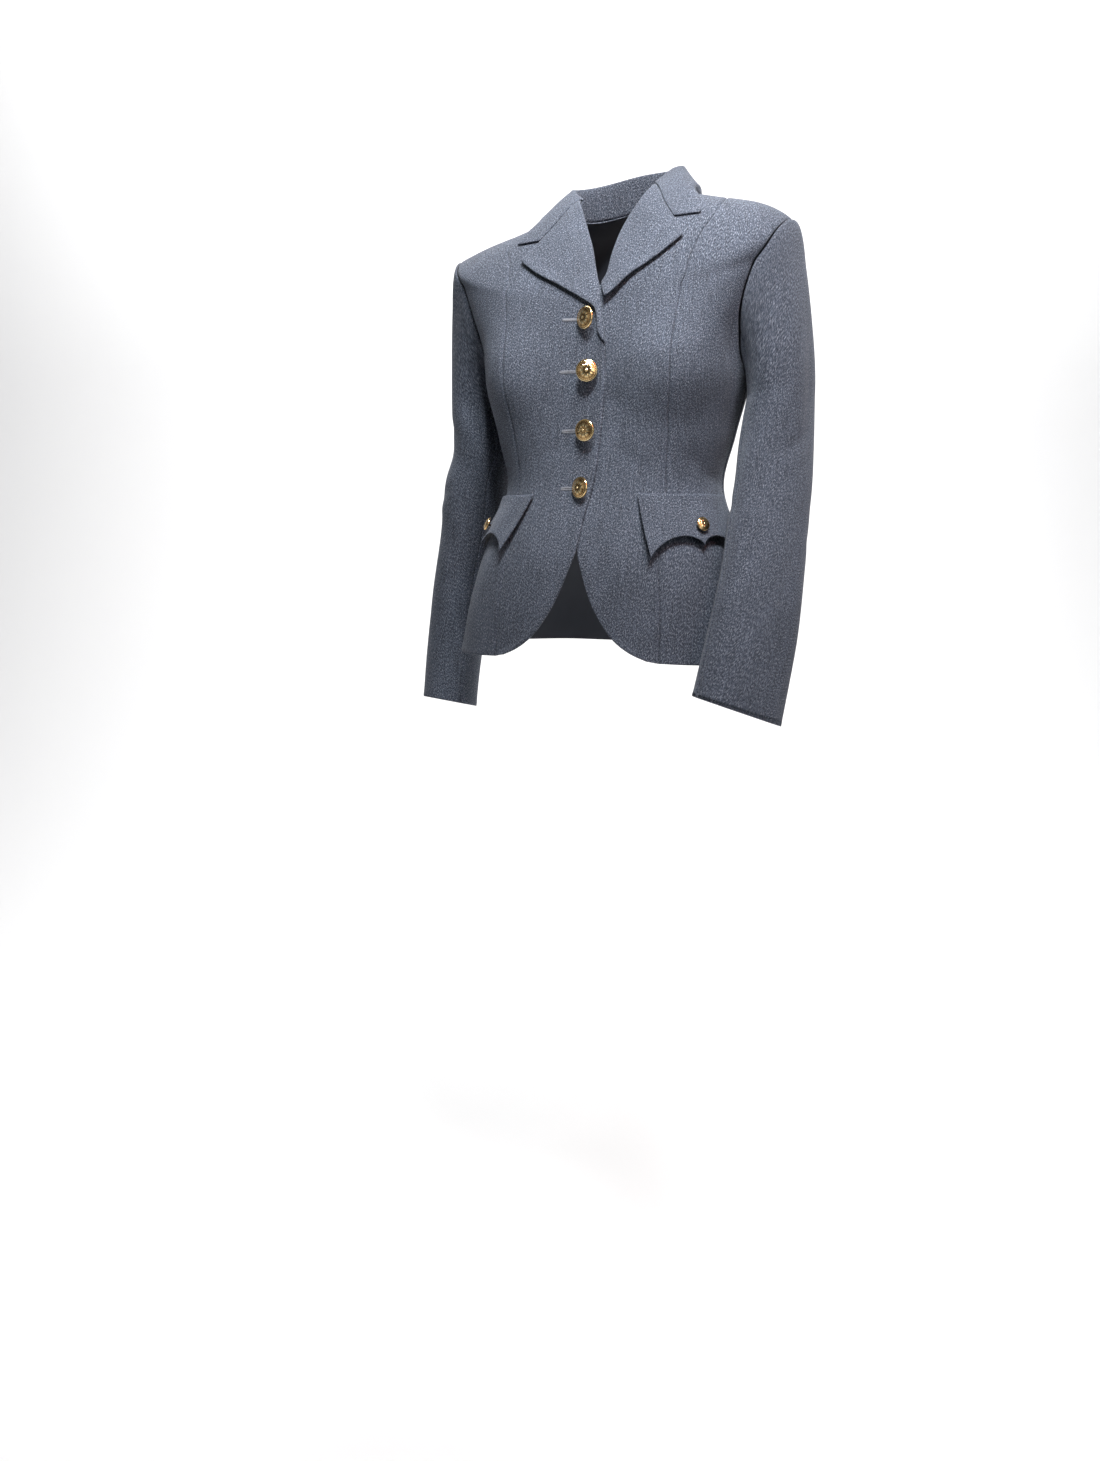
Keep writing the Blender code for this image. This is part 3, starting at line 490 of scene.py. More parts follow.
# Seams and edges on the torso as (degrees from the front centre, drop), for the wearer's left side
seams = {
    "hem": ((26, 0.5215), (30, 0.524), (45, 0.5265), (90, 0.527), (180, 0.527)),
    "cutaway": (
        (26, 0.5215), (21, 0.514), (16, 0.502), (10, 0.477), (5.5, 0.449), (2.5, 0.423), (0.5, 0.406)),
    "frontNeck": ((60, -0.004), (75, -0.001), (90, 0.0)),
    "frontEdge": (
        (-2, 0.358), (-5, 0.321), (-7, 0.263), (-8, 0.205), (-7.4, 0.15), (-5.6, 0.105), (-4.5, 0.07)),
    "rollOver": (
        (-4.5, 0.07), (-3.5, 0.05), (-2, 0.031), (2, 0.015), (13, 0.004), (34, -0.002), (60, -0.004)),
    "rollUnder": (
        (-4.5, 0.07), (0, 0.044), (2.6, 0.033), (8, 0.011), (17, 0.002), (35, -0.002), (60, -0.004)),
    "princess": (
        (30, 0.524), (31.5, 0.468), (33.5, 0.404), (37, 0.37), (40.5, 0.334), (39, 0.3), (35.5, 0.25),
        (33, 0.2), (32.5, 0.15), (30.5, 0.084), (30, 0.045), (37, 0.028), (52, 0.02), (72, 0.0165),
        (90, 0.0145)),
    "armholeFront": (
        (90, 0.198), (77, 0.188), (68, 0.158), (60, 0.12), (57.5, 0.09), (58, 0.066), (62, 0.049),
        (72, 0.0425), (90, 0.042)),
    "armholeBack": (
        (90, 0.198), (103, 0.189), (113, 0.158), (120, 0.12), (122, 0.09), (121, 0.066), (116, 0.049),
        (106, 0.0425), (90, 0.042)),
    "tip": (90, 0.042), "underarm": (90, 0.198), "sideNeck": (90, 0.0), "backNeck": (180, 0.0),
}
# Shares of the rows on each run of an edge, as cells of the solids' grid
cells = {"edge": 14, "roll": 9, "seam": 13, "armhole": 10}
panelStep = 0.0042
# Where each kind of piece was cut from the cloth, so that the weave never repeats from one to the next
cutFrom = {"back": 0.7, "lapel": 0.31, "collar": 1.3, "flap": (0.05, 0.9), "sleeve": (2.1, 0.37)}


def clothUv(grid, across, down=0, side=1, way=1):
    return np.stack([lengths(grid, 1) * side + across, lengths(grid, 0) * way + down], -1)


def straight(start, end, count=241):
    return np.linspace(start, end, count)


def whole(points):
    return runs((points, 1))[0]


# Cloth lengths round each ring and down each line, so that the weave lies true on the torso
ringAngles = np.radians(np.linspace(0, 180, 181))
ringDrops = np.linspace(-0.01, 0.54, 111)
table = torso(ringAngles[None, :], ringDrops[:, None])
aroundTable = lengths(table, 1)
downTable = lengths(table, 0)


def bilinear(values, angle, drop):
    a = np.clip(np.abs(angle) / ringAngles[1], 0, len(ringAngles) - 1.001)
    d = np.clip((drop - ringDrops[0]) / (ringDrops[1] - ringDrops[0]), 0, len(ringDrops) - 1.001)
    ai, di = a.astype(int), d.astype(int)
    af, df = a - ai, d - di
    return (values[di, ai] * (1 - af) * (1 - df) + values[di, ai + 1] * af * (1 - df)
            + values[di + 1, ai] * (1 - af) * df + values[di + 1, ai + 1] * af * df)


def bodyUv(angle, drop, fromBack):
    around = bilinear(aroundTable, angle, drop)
    if fromBack:
        around = bilinear(aroundTable, np.full_like(angle, math.pi), drop) - around
    around = around * np.sign(angle + 1e-9) + cutFrom["back"] * fromBack
    return np.stack([around, -bilinear(downTable, angle, drop)], -1)


# The right front laps over the left. It rises to its edge, pressed thin there, and the left sinks under it.
lap = {"drop": 0.0036, "end": 0.062, "fade": 0.036, "rise": 0.0024, "riseWidth": 0.008, "riseFrom": 0.118,
       "riseOver": 0.03, "lip": 0.0016, "lipWidth": 0.003}


def torsoPiece(name, side, edges, kinds, under=False, over=False, fromBack=False):
    left, leftBreaks, right, foot, head, headBreaks = edges
    dense = np.linspace(0, 1, 60)
    length = lengths(inSpace(left(dense)), 0)[-1]
    width = np.median(np.linalg.norm(inSpace(left(dense)) - inSpace(right(dense)), axis=1))
    u, v = places(headBreaks, width, panelStep), places(leftBreaks, length, panelStep)
    flat = patch(left, right, foot, head, u, v) * np.array([side, 1])
    angle, drop = np.radians(flat[..., 0]), flat[..., 1]
    outer, normal = cloth(angle, drop), torsoNormal(angle, drop)
    if under:
        fade = np.clip((lap["end"] - torso(angle, drop)[..., 0]) / lap["fade"], 0, 1)
        outer = outer - normal * (lap["drop"] * fade * fade * (3 - 2 * fade))[..., None]
    if over:
        low = np.clip((drop - lap["riseFrom"]) / lap["riseOver"], 0, 1)
        away = lengths(outer, 1)
        rise = lap["rise"] * hump(away, lap["riseWidth"])
        rise = rise - lap["lip"] * np.clip(1 - away / lap["lipWidth"], 0, 1) ** 2
        outer = outer + normal * (rise * low)[..., None]
    shell(name, outer, normal, bodyUv(angle, drop, fromBack), kinds)


def sideEdge(armhole):
    return runs((straight(seams["hem"][3], seams["underarm"]), cells["seam"]),
                (spaced(seams[armhole]), cells["armhole"]))


princessEdge = whole(spaced(seams["princess"]))
frontFoot = whole(spaced(seams["hem"][:2]))
sideFoot = whole(spaced(seams["hem"][1:4]))
backFoot = whole(straight(seams["hem"][3], seams["hem"][4]))
sideHead = whole(straight(seams["princess"][-1], seams["tip"]))
backCentre = whole(straight(seams["hem"][4], seams["backNeck"]))
frontHead, frontHeadBreaks = runs((spaced(seams["frontNeck"]), 1),
                                  (straight(seams["sideNeck"], seams["princess"][-1]), 1))
backHead, backHeadBreaks = runs((straight(seams["tip"], seams["sideNeck"]), 1),
                                (straight(seams["sideNeck"], seams["backNeck"]), 1))
armFront, armFrontBreaks = sideEdge("armholeFront")
armBack, armBackBreaks = sideEdge("armholeBack")

for side, word, other in ((-1, "right", "left"), (1, "left", "right")):
    roll = spaced(seams["rollOver"] if side < 0 else seams["rollUnder"])
    freeEdge, freeBreaks = runs((spaced(seams["cutaway"] + seams["frontEdge"]), cells["edge"]),
                                (roll, cells["roll"]))
    front, sideFront, back = f"front_{word}", f"side_front_{word}", f"back_{word}"
    torsoPiece(front, side, (freeEdge, freeBreaks, princessEdge, frontFoot, frontHead, frontHeadBreaks),
               "free seam free seam", under=side > 0, over=side < 0)
    torsoPiece(sideFront, side, (princessEdge, armFrontBreaks, armFront, sideFoot, sideHead, (0, 1)),
               "free seam seam seam")
    torsoPiece(back, side, (armBack, armBackBreaks, backCentre, backFoot, backHead, backHeadBreaks),
               "free seam seam seam", fromBack=True)
print("body panels made")

# Lapels, turned back from the fronts
lapelForm = {
    "gorge": ((60, -0.004), (52, 0.0), (46, 0.0045), (41.5, 0.0125)), "notch": ((41.5, 0.0125), (36, 0.0215)),
    "overEdge": (
        (-7, 0.147), (-4.9, 0.13), (-4, 0.105), (-2.9, 0.085), (-0.5, 0.072), (3, 0.055), (11, 0.0365),
        (19.5, 0.0285), (28, 0.024), (36, 0.0215)),
    "overRoll": ((-8.1, 0.15), (-6.9, 0.122), (-5.4, 0.095), (-4.5, 0.07)),
    "underEdge": ((5.6, 0.061), (11, 0.0385), (19.5, 0.0285), (28, 0.024), (36, 0.0215)),
    "underStart": (3.3, 0.0335), "rest": 0.0026, "bulge": 0.0035, "bulgeEase": 0.7, "ease": 3,
    "gorgeEase": 1.5, "gorgeCells": 3, "notchCells": 2, "neckStand": 0.005, "size": (0.055, 0.17),
    "step": 0.0026,
}


def gorgeAndNotch(notch):
    return runs((spaced(lapelForm["gorge"]), lapelForm["gorgeCells"]),
                (straight(*notch), lapelForm["notchCells"]))


def lapelPiece(name, side, edge, roll, foot):
    form = lapelForm
    left, breaks = whole(spaced(roll)), (0, 1)
    head, headBreaks = gorgeAndNotch(form["notch"])
    u, v = places(headBreaks, form["size"][0], form["step"]), places(breaks, form["size"][1], form["step"])
    flat = patch(left, whole(spaced(edge)), whole(straight(*foot)), head, u, v)
    angle, drop = np.radians(flat[..., 0]) * side, flat[..., 1]
    u, v = u[None, :], v[:, None]
    share = u * (form["gorgeCells"] + form["notchCells"]) / form["gorgeCells"]
    lift = form["neckStand"] * np.clip(1 - share, 0, 1) ** form["gorgeEase"] * v ** form["ease"]
    lift = lift + form["bulge"] * np.sin(math.pi * u) * np.sin(math.pi * v) ** form["bulgeEase"]
    normal = torsoNormal(angle, drop)
    outer = cloth(angle, drop) + normal * form["rest"] + up * lift[..., None]
    shell(name, outer, normal, clothUv(outer, cutFrom["lapel"] * side), "free seam seam raised")


lapelPiece("lapel_right", -1, lapelForm["overEdge"], lapelForm["overRoll"] + seams["rollOver"][1:],
           (lapelForm["overRoll"][0], lapelForm["overEdge"][0]))
lapelPiece("lapel_left", 1, lapelForm["underEdge"], (lapelForm["underStart"],) + seams["rollUnder"][3:],
           (lapelForm["underStart"], lapelForm["underEdge"][0]))

# Collar: a stand inside the neck, then the fall over it. Inside's rows are inward, up and share of the stand.
collarForm = {
    "notch": ((41.5, 0.0125), (50, 0.0172)),
    "outer": ((180, 0.01), (135, 0.0082), (100, 0.0058), (80, 0.006), (62, 0.0114), (50, 0.0172)),
    "stand": ((180, 0.038), (135, 0.037), (100, 0.031), (90, 0.028), (80, 0.023), (70, 0.014), (60, 0.005)),
    "fold": ((180, 0.0), (135, 0.0), (90, 0.0), (72, -0.002), (60, -0.004)),
    "inside": ((0.001, -0.0008, 0.0), (0.0034, 0.0014, 0.45), (0.0036, 0.0016, 0.88), (0.0018, 0.0024, 1.0)),
    "ease": 1.15, "blend": 4, "wall": 0.0015, "halfLength": 0.16, "step": 0.003, "middleGap": 0.03,
    "across": 21, "rows": 44, "edgeRows": (0.0002, 0.0006, 0.0012),
}


def collarHalf(side, share, across):
    form = collarForm
    end, _ = gorgeAndNotch(form["notch"])
    back = whole(straight(form["fold"][0], form["outer"][0]))
    fold, outer = whole(spaced(form["fold"])), whole(spaced(form["outer"]))
    flat, folds = patch(back, end, fold, outer, share, across, 1), fold(share)
    stand = smooth([(-angle, height) for angle, height in form["stand"]], 1, -folds[:, 0])
    rows = (lapelForm["gorgeCells"] + lapelForm["notchCells"]) / lapelForm["gorgeCells"]
    atTip = np.clip(1 - across[:, None] * rows, 0, 1) ** lapelForm["gorgeEase"]
    atBack = (1 - across[:, None]) ** form["ease"]
    blend = share[None, :] ** form["blend"]
    lift = stand[None, :] * (blend * atTip + (1 - blend) * atBack)
    angle, drop = np.radians(flat[..., 0]) * side, flat[..., 1]
    fall = cloth(angle, drop) + torsoNormal(angle, drop) * lapelForm["rest"] + up * lift[..., None]
    seam = torso(np.radians(folds[:, 0]) * side, folds[:, 1])
    inward = unit(-seam * np.array([1, 1, 0]))
    inside = [seam + inward * far + up * (high + part * stand[:, None])
              for far, high, part in form["inside"]]
    return np.concatenate([np.array(inside), fall])


def smoothRows(grid):
    away = lengths(grid, 0).mean(1)
    table = np.column_stack([away, grid.reshape(len(grid), -1)])
    edge = np.array(collarForm["edgeRows"])
    at = np.unique(np.concatenate([np.linspace(0, away[-1], collarForm["rows"]), edge, away[-1] - edge]))
    columns = [smooth(table[:, [0, k + 1]], 1, at) for k in range(table.shape[1] - 1)]
    return np.stack(columns, 1).reshape(len(at), *grid.shape[1:])


def makeCollar():
    share = places((0, 1), collarForm["halfLength"], collarForm["step"])
    share = share[(share == 0) | (share > collarForm["middleGap"])]
    across = np.linspace(0, 1, collarForm["across"])
    left, right = collarHalf(1, share, across), collarHalf(-1, share, across)
    grid = smoothRows(np.concatenate([right[:, :0:-1], left], axis=1))
    normal = gridNormals(grid)
    if normal[-1, grid.shape[1] // 2, 1] < 0:
        normal = -normal
    shell("collar", grid, normal, clothUv(grid, cutFrom["collar"]), "seam free free free",
          collarForm["wall"], wool)


makeCollar()
print("lapels and collar made")

# Pocket flaps with three points, standing a little off the cloth
flapForm = {
    "top": (26.5, 85.5), "foot": {1: (29.7, 74.5), -1: (34.0, 78.0)}, "longPoint": {1: 0.0745, -1: 0.069},
    "drop": 0.336, "middlePoint": 0.0605, "arch": 0.016, "archEase": 0.75, "rest": 0.0034, "flare": 0.006,
    "flareEase": 1.5, "button": (0.5, 0.63), "size": (0.13, 0.06), "steps": (0.0018, 0.0024),
}


def flapPoints(u, v, side):
    form = flapForm
    foot, longPoint = form["foot"][side], form["longPoint"][side]
    left = form["top"][0] + (foot[0] - form["top"][0]) * v
    right = form["top"][1] + (foot[1] - form["top"][1]) * v
    angle = np.radians(left + (right - left) * u) * side
    half = np.abs(2 * u - 1)
    hang = longPoint + (form["middlePoint"] - longPoint) * (1 - half)
    hang = hang - form["arch"] * (4 * half * (1 - half)) ** form["archEase"]
    drop = form["drop"] + hang * v
    normal = torsoNormal(angle, drop)
    lift = form["rest"] + form["flare"] * v ** form["flareEase"]
    return cloth(angle, drop) + normal * lift[..., None], normal


def flapPiece(name, side):
    (width, length), (stepAcross, stepDown) = flapForm["size"], flapForm["steps"]
    u, v = np.meshgrid(places((0, 0.5, 1), width, stepAcross), places((0, 1), length, stepDown))
    outer, normal = flapPoints(u, v, side)
    shell(name, outer, normal, clothUv(outer, *cutFrom["flap"], side, -1), "seam free raised free")


flapPiece("flap_left", 1)
flapPiece("flap_right", -1)
print("flaps made")

# Sleeves: rings down the arm, with the long half-axis turned from straight back towards the outside
sleeveColumns = ("z", "x", "y", "longHalf", "shortHalf", "turn")
sleeveRings = {
    1: ((-225, 199.5, 2, 60, 37, 0), (-280, 198.5, -8, 56, 41.5, 5),
        (-320, 201, -28, 55, 41.5, 12), (-362, 201.8, -52, 54, 41.5, 20),
        (-413, 204, -82, 54, 39.5, 28), (-489, 202.4, -120, 55, 36.5, 38),
        (-530, 199, -138, 54, 35, 42), (-570, 195, -153, 53, 33.5, 45)),
    -1: ((-225, 196, 22, 58, 32, 5), (-280, 188, 18, 56, 39, 2),
         (-310, 196, 17, 55, 40.5, 3), (-384, 211, 24, 54, 40, 6),
         (-460, 230, 28, 53, 38, 9), (-530, 240, 27, 52, 37, 12),
         (-575, 245, 25, 52, 36, 14), (-612, 247.5, 22, 52, 35.5, 15)),
}
sleeveForm = {
    "cuffs": {1: (0.36, 50), -1: (0.26, -24)},  # slope, and the way it falls in degrees
    "capReach": 0.14, "capFall": 1.15, "capTurn": 0.25, "capRise": 0.1, "headRoll": 0.0025,
    "headRollEnd": 0.4, "headRollWay": (0.6, 0.0, 0.8), "seamLift": 0.0002, "seamStep": 0.0001,
    "frontInseam": 132, "hindSeam": 250, "radius": 0.048, "capRows": 30,
    "capEdgeRows": (0.001, 0.004, 0.01, 0.02), "rowStep": 0.0044, "foldFade": 0.03, "margin": 4,
}
# Folds as on the torso, with the angle round the sleeve: 0 outside, 90 front, 180 inside, 270 back
sleeveFolds = {
    1: ((-62, 300, 85, 16, 2.6, 3), (22, 225, 75, 15, -2.2, 4), (86, 322, 34, 19, -3.8, 74),
        (-6, 480, 75, 17, 2.2, -6), (58, 284, 28, 8, -1.6, 60), (72, 353, 28, 7.5, -1.6, -70),
        (42, 300, 26, 8, 1.1, 50), (96, 236, 36, 9, -1.8, 28), (-72, 347, 28, 9, -1.6, 80),
        (-98, 319, 24, 8.5, 1.3, 84), (-40, 384, 22, 8, -1, 66), (31, 432, 66, 10, -1.1, 10),
        (118, 428, 48, 10, 1.1, 16), (150, 350, 36, 9, -1.5, 80), (-22, 205, 50, 9, 1.1, -4)),
    -1: ((-66, 290, 80, 17, 2.4, -3), (14, 215, 75, 16, -2.2, 2), (90, 292, 36, 20, -4, 70),
        (-12, 505, 70, 16, 2, -6), (70, 258, 30, 8.5, -1.7, 56), (64, 328, 30, 8, -1.4, -66),
        (50, 350, 28, 8.5, 1.1, 62), (102, 222, 34, 9, -1.6, 30), (-80, 354, 30, 9, -1.4, 80),
        (-58, 322, 28, 8.5, 1.2, -72), (36, 452, 76, 11, -1.2, 8), (124, 410, 46, 10, 1, 14),
        (140, 330, 34, 9, -1.3, 76)),
}


def sleeveLoop(angle):
    front, back = spaced(seams["armholeFront"][::-1], 61), spaced(seams["armholeBack"], 61)
    loop = np.vstack([front, back[1:]])
    at = np.interp(angle % 360, np.linspace(0, 360, len(loop)), np.arange(len(loop)))
    low = np.floor(at).astype(int) % len(loop)
    high = np.minimum(low + 1, len(loop) - 1)
    part = (at - np.floor(at))[:, None]
    return loop[low] * (1 - part) + loop[high] * part


def sleeveRing(rings, angle, z, cuff):
    rows = [(-row[0], *row[1:]) for row in rings]
    ring = {name: smooth(rows, k, np.array(-z)) for k, name in enumerate(sleeveColumns) if k}
    bearing = np.radians(-angle)
    longBearing = math.pi / 2 - np.radians(ring["turn"])
    along, across = np.cos(bearing - longBearing), np.sin(bearing - longBearing)
    radius = 1 / np.sqrt((along / ring["longHalf"]) ** 2 + (across / ring["shortHalf"]) ** 2)
    x, y = ring["x"] + radius * np.cos(bearing), ring["y"] + radius * np.sin(bearing)
    low = np.clip((rings[3][0] - z) / (rings[3][0] - rings[-1][0]), 0, 1)
    slope, way = cuff[0], math.radians(cuff[1])
    away = (x - ring["x"]) * math.sin(way) + (y - ring["y"]) * math.cos(way)
    return np.stack([x, y, z - slope * low * low * away], -1)


def sleeveGrid(rings, angle, side):
    form = sleeveForm
    flip = np.array([side, 1, 1])
    flat = sleeveLoop(angle) * flip[:2]
    seam = inSpace(flat) * flip
    normal = torsoNormal(np.radians(flat[:, 0]), flat[:, 1]) * flip
    top = rings[0][0]
    cuff = form["cuffs"][side]
    ring = sleeveRing(rings, angle, top, cuff)
    outside = np.cos(np.radians(angle))
    out = unit(np.column_stack([np.ones_like(angle), -form["capTurn"] * np.sin(np.radians(angle)),
                                form["capRise"] * outside]))
    seam = seam + normal * form["seamLift"] + out * form["seamStep"]
    gap = np.linalg.norm(ring - seam, axis=1)[:, None]
    rows = []
    for s in np.unique(np.concatenate([np.linspace(0, 1, form["capRows"]), form["capEdgeRows"]]))[:-1]:
        away, down = out * gap * form["capReach"], up * gap * form["capFall"]
        blend = ((2 * s ** 3 - 3 * s ** 2 + 1) * seam + (s ** 3 - 2 * s ** 2 + s) * away
                 + (3 * s ** 2 - 2 * s ** 3) * ring - (s ** 3 - s ** 2) * down)
        roped = form["headRoll"] * math.sin(math.pi * min(1, s / form["headRollEnd"]))
        rows.append(blend + roped * np.clip(outside, 0, 1)[:, None] * np.array(form["headRollWay"]))
    foot = rings[-1][0]
    heights = np.concatenate([np.arange(top, foot, -form["rowStep"]), foot + edgeRows[::-1], [foot]])
    return np.array(rows + [sleeveRing(rings, angle, z, cuff) for z in heights])


def sleevePiece(name, start, end, side):
    form, rings = sleeveForm, metres(sleeveRings[side], 5)
    radius = form["radius"]
    angle = start + (end - start) * places((0, 1), math.radians(end - start) * radius, panelStep)
    wide = sleeveGrid(rings, np.concatenate([[start - form["margin"]], angle, [end + form["margin"]]]), side)
    normal, grid = gridNormals(wide)[:, 1:-1], wide[:, 1:-1]
    centre = np.array([rings[-1][1], rings[-1][2], rings[-1][0]])
    middle = len(angle) // 2
    if normal[-1, middle] @ (grid[-1, middle] - centre) < 0:
        normal = -normal
    rows = foldRows(sleeveFolds[side], radius)
    around = np.radians((angle + 180) % 360 - 180)[None, :] * radius
    height = sum(creases(rows, around + turn * 2 * math.pi * radius, -grid[..., 2]) for turn in (0, 1))
    fade = np.clip(lengths(grid, 0) / form["foldFade"], 0, 1)
    grid = grid + normal * (height * fade)[..., None]
    flip = np.array([side, 1, 1])
    uv = clothUv(grid, *cutFrom["sleeve"], side, -1)
    shell(name, grid * flip, normal * flip, uv, "seam free seam seam")


for side, word in ((-1, "right"), (1, "left")):
    sleevePiece(f"sleeve_upper_{word}", sleeveForm["hindSeam"] - 360, sleeveForm["frontInseam"], side)
    sleevePiece(f"sleeve_under_{word}", sleeveForm["frontInseam"], sleeveForm["hindSeam"], side)
print("sleeves made")


# Points on the right front and the way it faces. Across is from the buttons' line to the wearer's left.
def onFront(drop):
    def place(across, down, lift):
        ring = drop + down
        angle = across / smooth(sections, 3, ring)
        normal = torsoNormal(angle, ring)
        return cloth(angle, ring) + normal * lift, normal
    return place


# Gilt buttons: a rolled rim, a beaded ring and a plain rosette in low relief
# Front gives each button's drop, turn, shift and gap, and rim to boss give heights, places and widths.
buttonForm = {
    "front": ((0.104, -26, 0.005, 0.0005), (0.195, 14, 0.002, 0.0007), (0.265, -10, 0.003, 0.0007),
              (0.3295, -26, 0.002, 0.001)),
    "radius": 0.0125, "standOff": 0.007, "pitch": 0.4, "flapRadius": 0.0083, "flapStandOff": 0.0035,
    "flapGap": 0.0006, "shank": 0.16, "back": ((0.78, 0.0002), (0.94, 0.0008), (1.0, 0.0016)),
    "backShade": 0.3, "sides": 112, "rings": (0.985, 0.03, 44), "thickness": 0.0026, "rise": 0.3,
    "domeEase": 2.2, "domeShare": 0.86, "rimFrom": 0.97, "rimFall": 0.0005, "reliefShare": 0.55,
    "highlightAt": 0.11, "tip": 0.0001, "tipShade": 0.6,
    "rim": (0.06, 0.93, 0.045), "beads": (0.04, 0.79, 0.05), "petals": (0.075, 0.46, 0.17),
    "veins": (-0.03, 0.5, 0.12), "boss": (0.06, 0.13), "beadCount": 28, "beadEase": 0.7, "petalCount": 8,
    "petalEase": 0.8, "veinWidth": 0.22, "bossCount": 6, "bossDepth": 0.3, "uvAcross": (90, 30),
}


def reliefHeight(r, turn):
    form = buttonForm
    shapes = [form[name] for name in ("rim", "beads", "petals", "veins")]
    rim, beads, petals, veins = (height * hump(r - place, width) for height, place, width in shapes)
    half = form["petalCount"] / 2 * turn  # a petal for each half wave
    beads = beads * (0.5 + 0.5 * np.cos(form["beadCount"] * turn)) ** form["beadEase"]
    petals = petals * np.abs(np.cos(half)) ** form["petalEase"]
    veins = veins * hump(np.sin(half), form["veinWidth"])
    boss = form["boss"][0] * np.exp(-(r / form["boss"][1]) ** 4)
    boss = boss * (1 + form["bossDepth"] * np.cos(form["bossCount"] * turn))
    return rim + beads + petals + veins + boss


# Faces between rings of points, with the rings' own numbers and those of the next point round
def tubeFaces(count, sides):
    index = np.arange(count * sides).reshape(count, sides)
    around = np.roll(index, -1, axis=1)
    quads = np.stack([index[:-1], around[:-1], around[1:], index[1:]], -1).reshape(-1, 4)
    return quads.tolist(), index, around


def makeButton(name, radius, standOff, gap, foot, normal, facing):
    form = buttonForm
    sides, shank = form["sides"], form["shank"] * radius
    turn = circle(sides)
    seat = gap + shank * math.sin(normal.angle(facing))
    # Each ring's third value is its painted tone for the gilt: the back takes one fixed tone, raised relief
    # is painted lighter as highlight and low parts darker as painted shade
    rings = [(shank, seat, 0.0), (shank, standOff, 0.0)]
    rings += [(share * radius, standOff + height, form["backShade"]) for share, height in form["back"]]
    for r in np.linspace(*form["rings"]):
        dome = form["rise"] * radius * (1 - r ** form["domeEase"])
        relief = reliefHeight(r, turn)
        z = (standOff + form["thickness"] - form["rimFall"] * (r > form["rimFrom"]) + dome * form["domeShare"]
             + relief * radius * form["reliefShare"])
        rings.append((r * radius, z, np.clip(relief / form["highlightAt"], 0, 1)))
    grid = np.array([np.column_stack([r * np.cos(turn), r * np.sin(turn), z + 0 * turn, shade + 0 * turn])
                     for r, z, shade in rings])
    tip = grid[-1, :, 2].mean() + form["tip"]
    points = np.vstack([grid.reshape(-1, 4), [[0, 0, seat, 0]], [[0, 0, tip, form["tipShade"]]]])
    quads, index, around = tubeFaces(len(rings), sides)
    caps = [(len(points) - 2, b, a) for a, b in zip(index[0], around[0])]
    caps += [(len(points) - 1, a, b) for a, b in zip(index[-1], around[-1])]
    piece = addObject("metal_" + name, points[:, :3], quads + caps, (giltMetal,))
    # The relief map carries each point's painted tone in its second place
    across = points[:, 0] * form["uvAcross"][0] + points[:, 1] * form["uvAcross"][1]
    addUv(piece, "relief", np.column_stack([across, points[:, 3]]))
    turnTo = facing.to_track_quat("Z", "Y").to_matrix().to_4x4()
    turnTo.translation = foot
    piece.data.transform(turnTo)
    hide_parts(name)
    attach(piece, "root")


for number, (drop, turn, shift, gap) in enumerate(buttonForm["front"], 1):
    foot, normal = (Vector(vector) for vector in onFront(np.array(drop))(np.array(shift), 0.0, 0.0))
    bearing = math.radians(turn)
    facing = Vector((math.sin(bearing), -math.cos(bearing), buttonForm["pitch"] * normal.z)).normalized()
    makeButton(f"button_front_{number}", buttonForm["radius"], buttonForm["standOff"], gap, foot, normal,
               facing)
for word, side in (("left", 1), ("right", -1)):
    u, v = (np.array(value) for value in flapForm["button"])
    point, normal = flapPoints(u, v, side)
    makeButton(f"button_flap_{word}", buttonForm["flapRadius"], buttonForm["flapStandOff"],
               buttonForm["flapGap"], Vector(point), Vector(normal), Vector(normal))
print("buttons made")

# Buttonholes: a slit bound all round with small stitches laid across its edge, with a near-black tube in the
# slit as its painted shadow
stitchForm = {
    "length": 0.02, "inner": 0.0085, "half": 0.0011, "lift": 0.0003, "endRound": 1.6, "edgePoints": 96,
    "pitch": 0.00062, "reach": 0.0012, "thread": 0.0002, "unevenness": 0.12, "seed": 7, "points": 7,
    "slant": 0.5, "arch": 1.4, "slitShare": 0.42, "slitSink": 0.6, "slitPoints": 24, "blunt": 0.12,
}


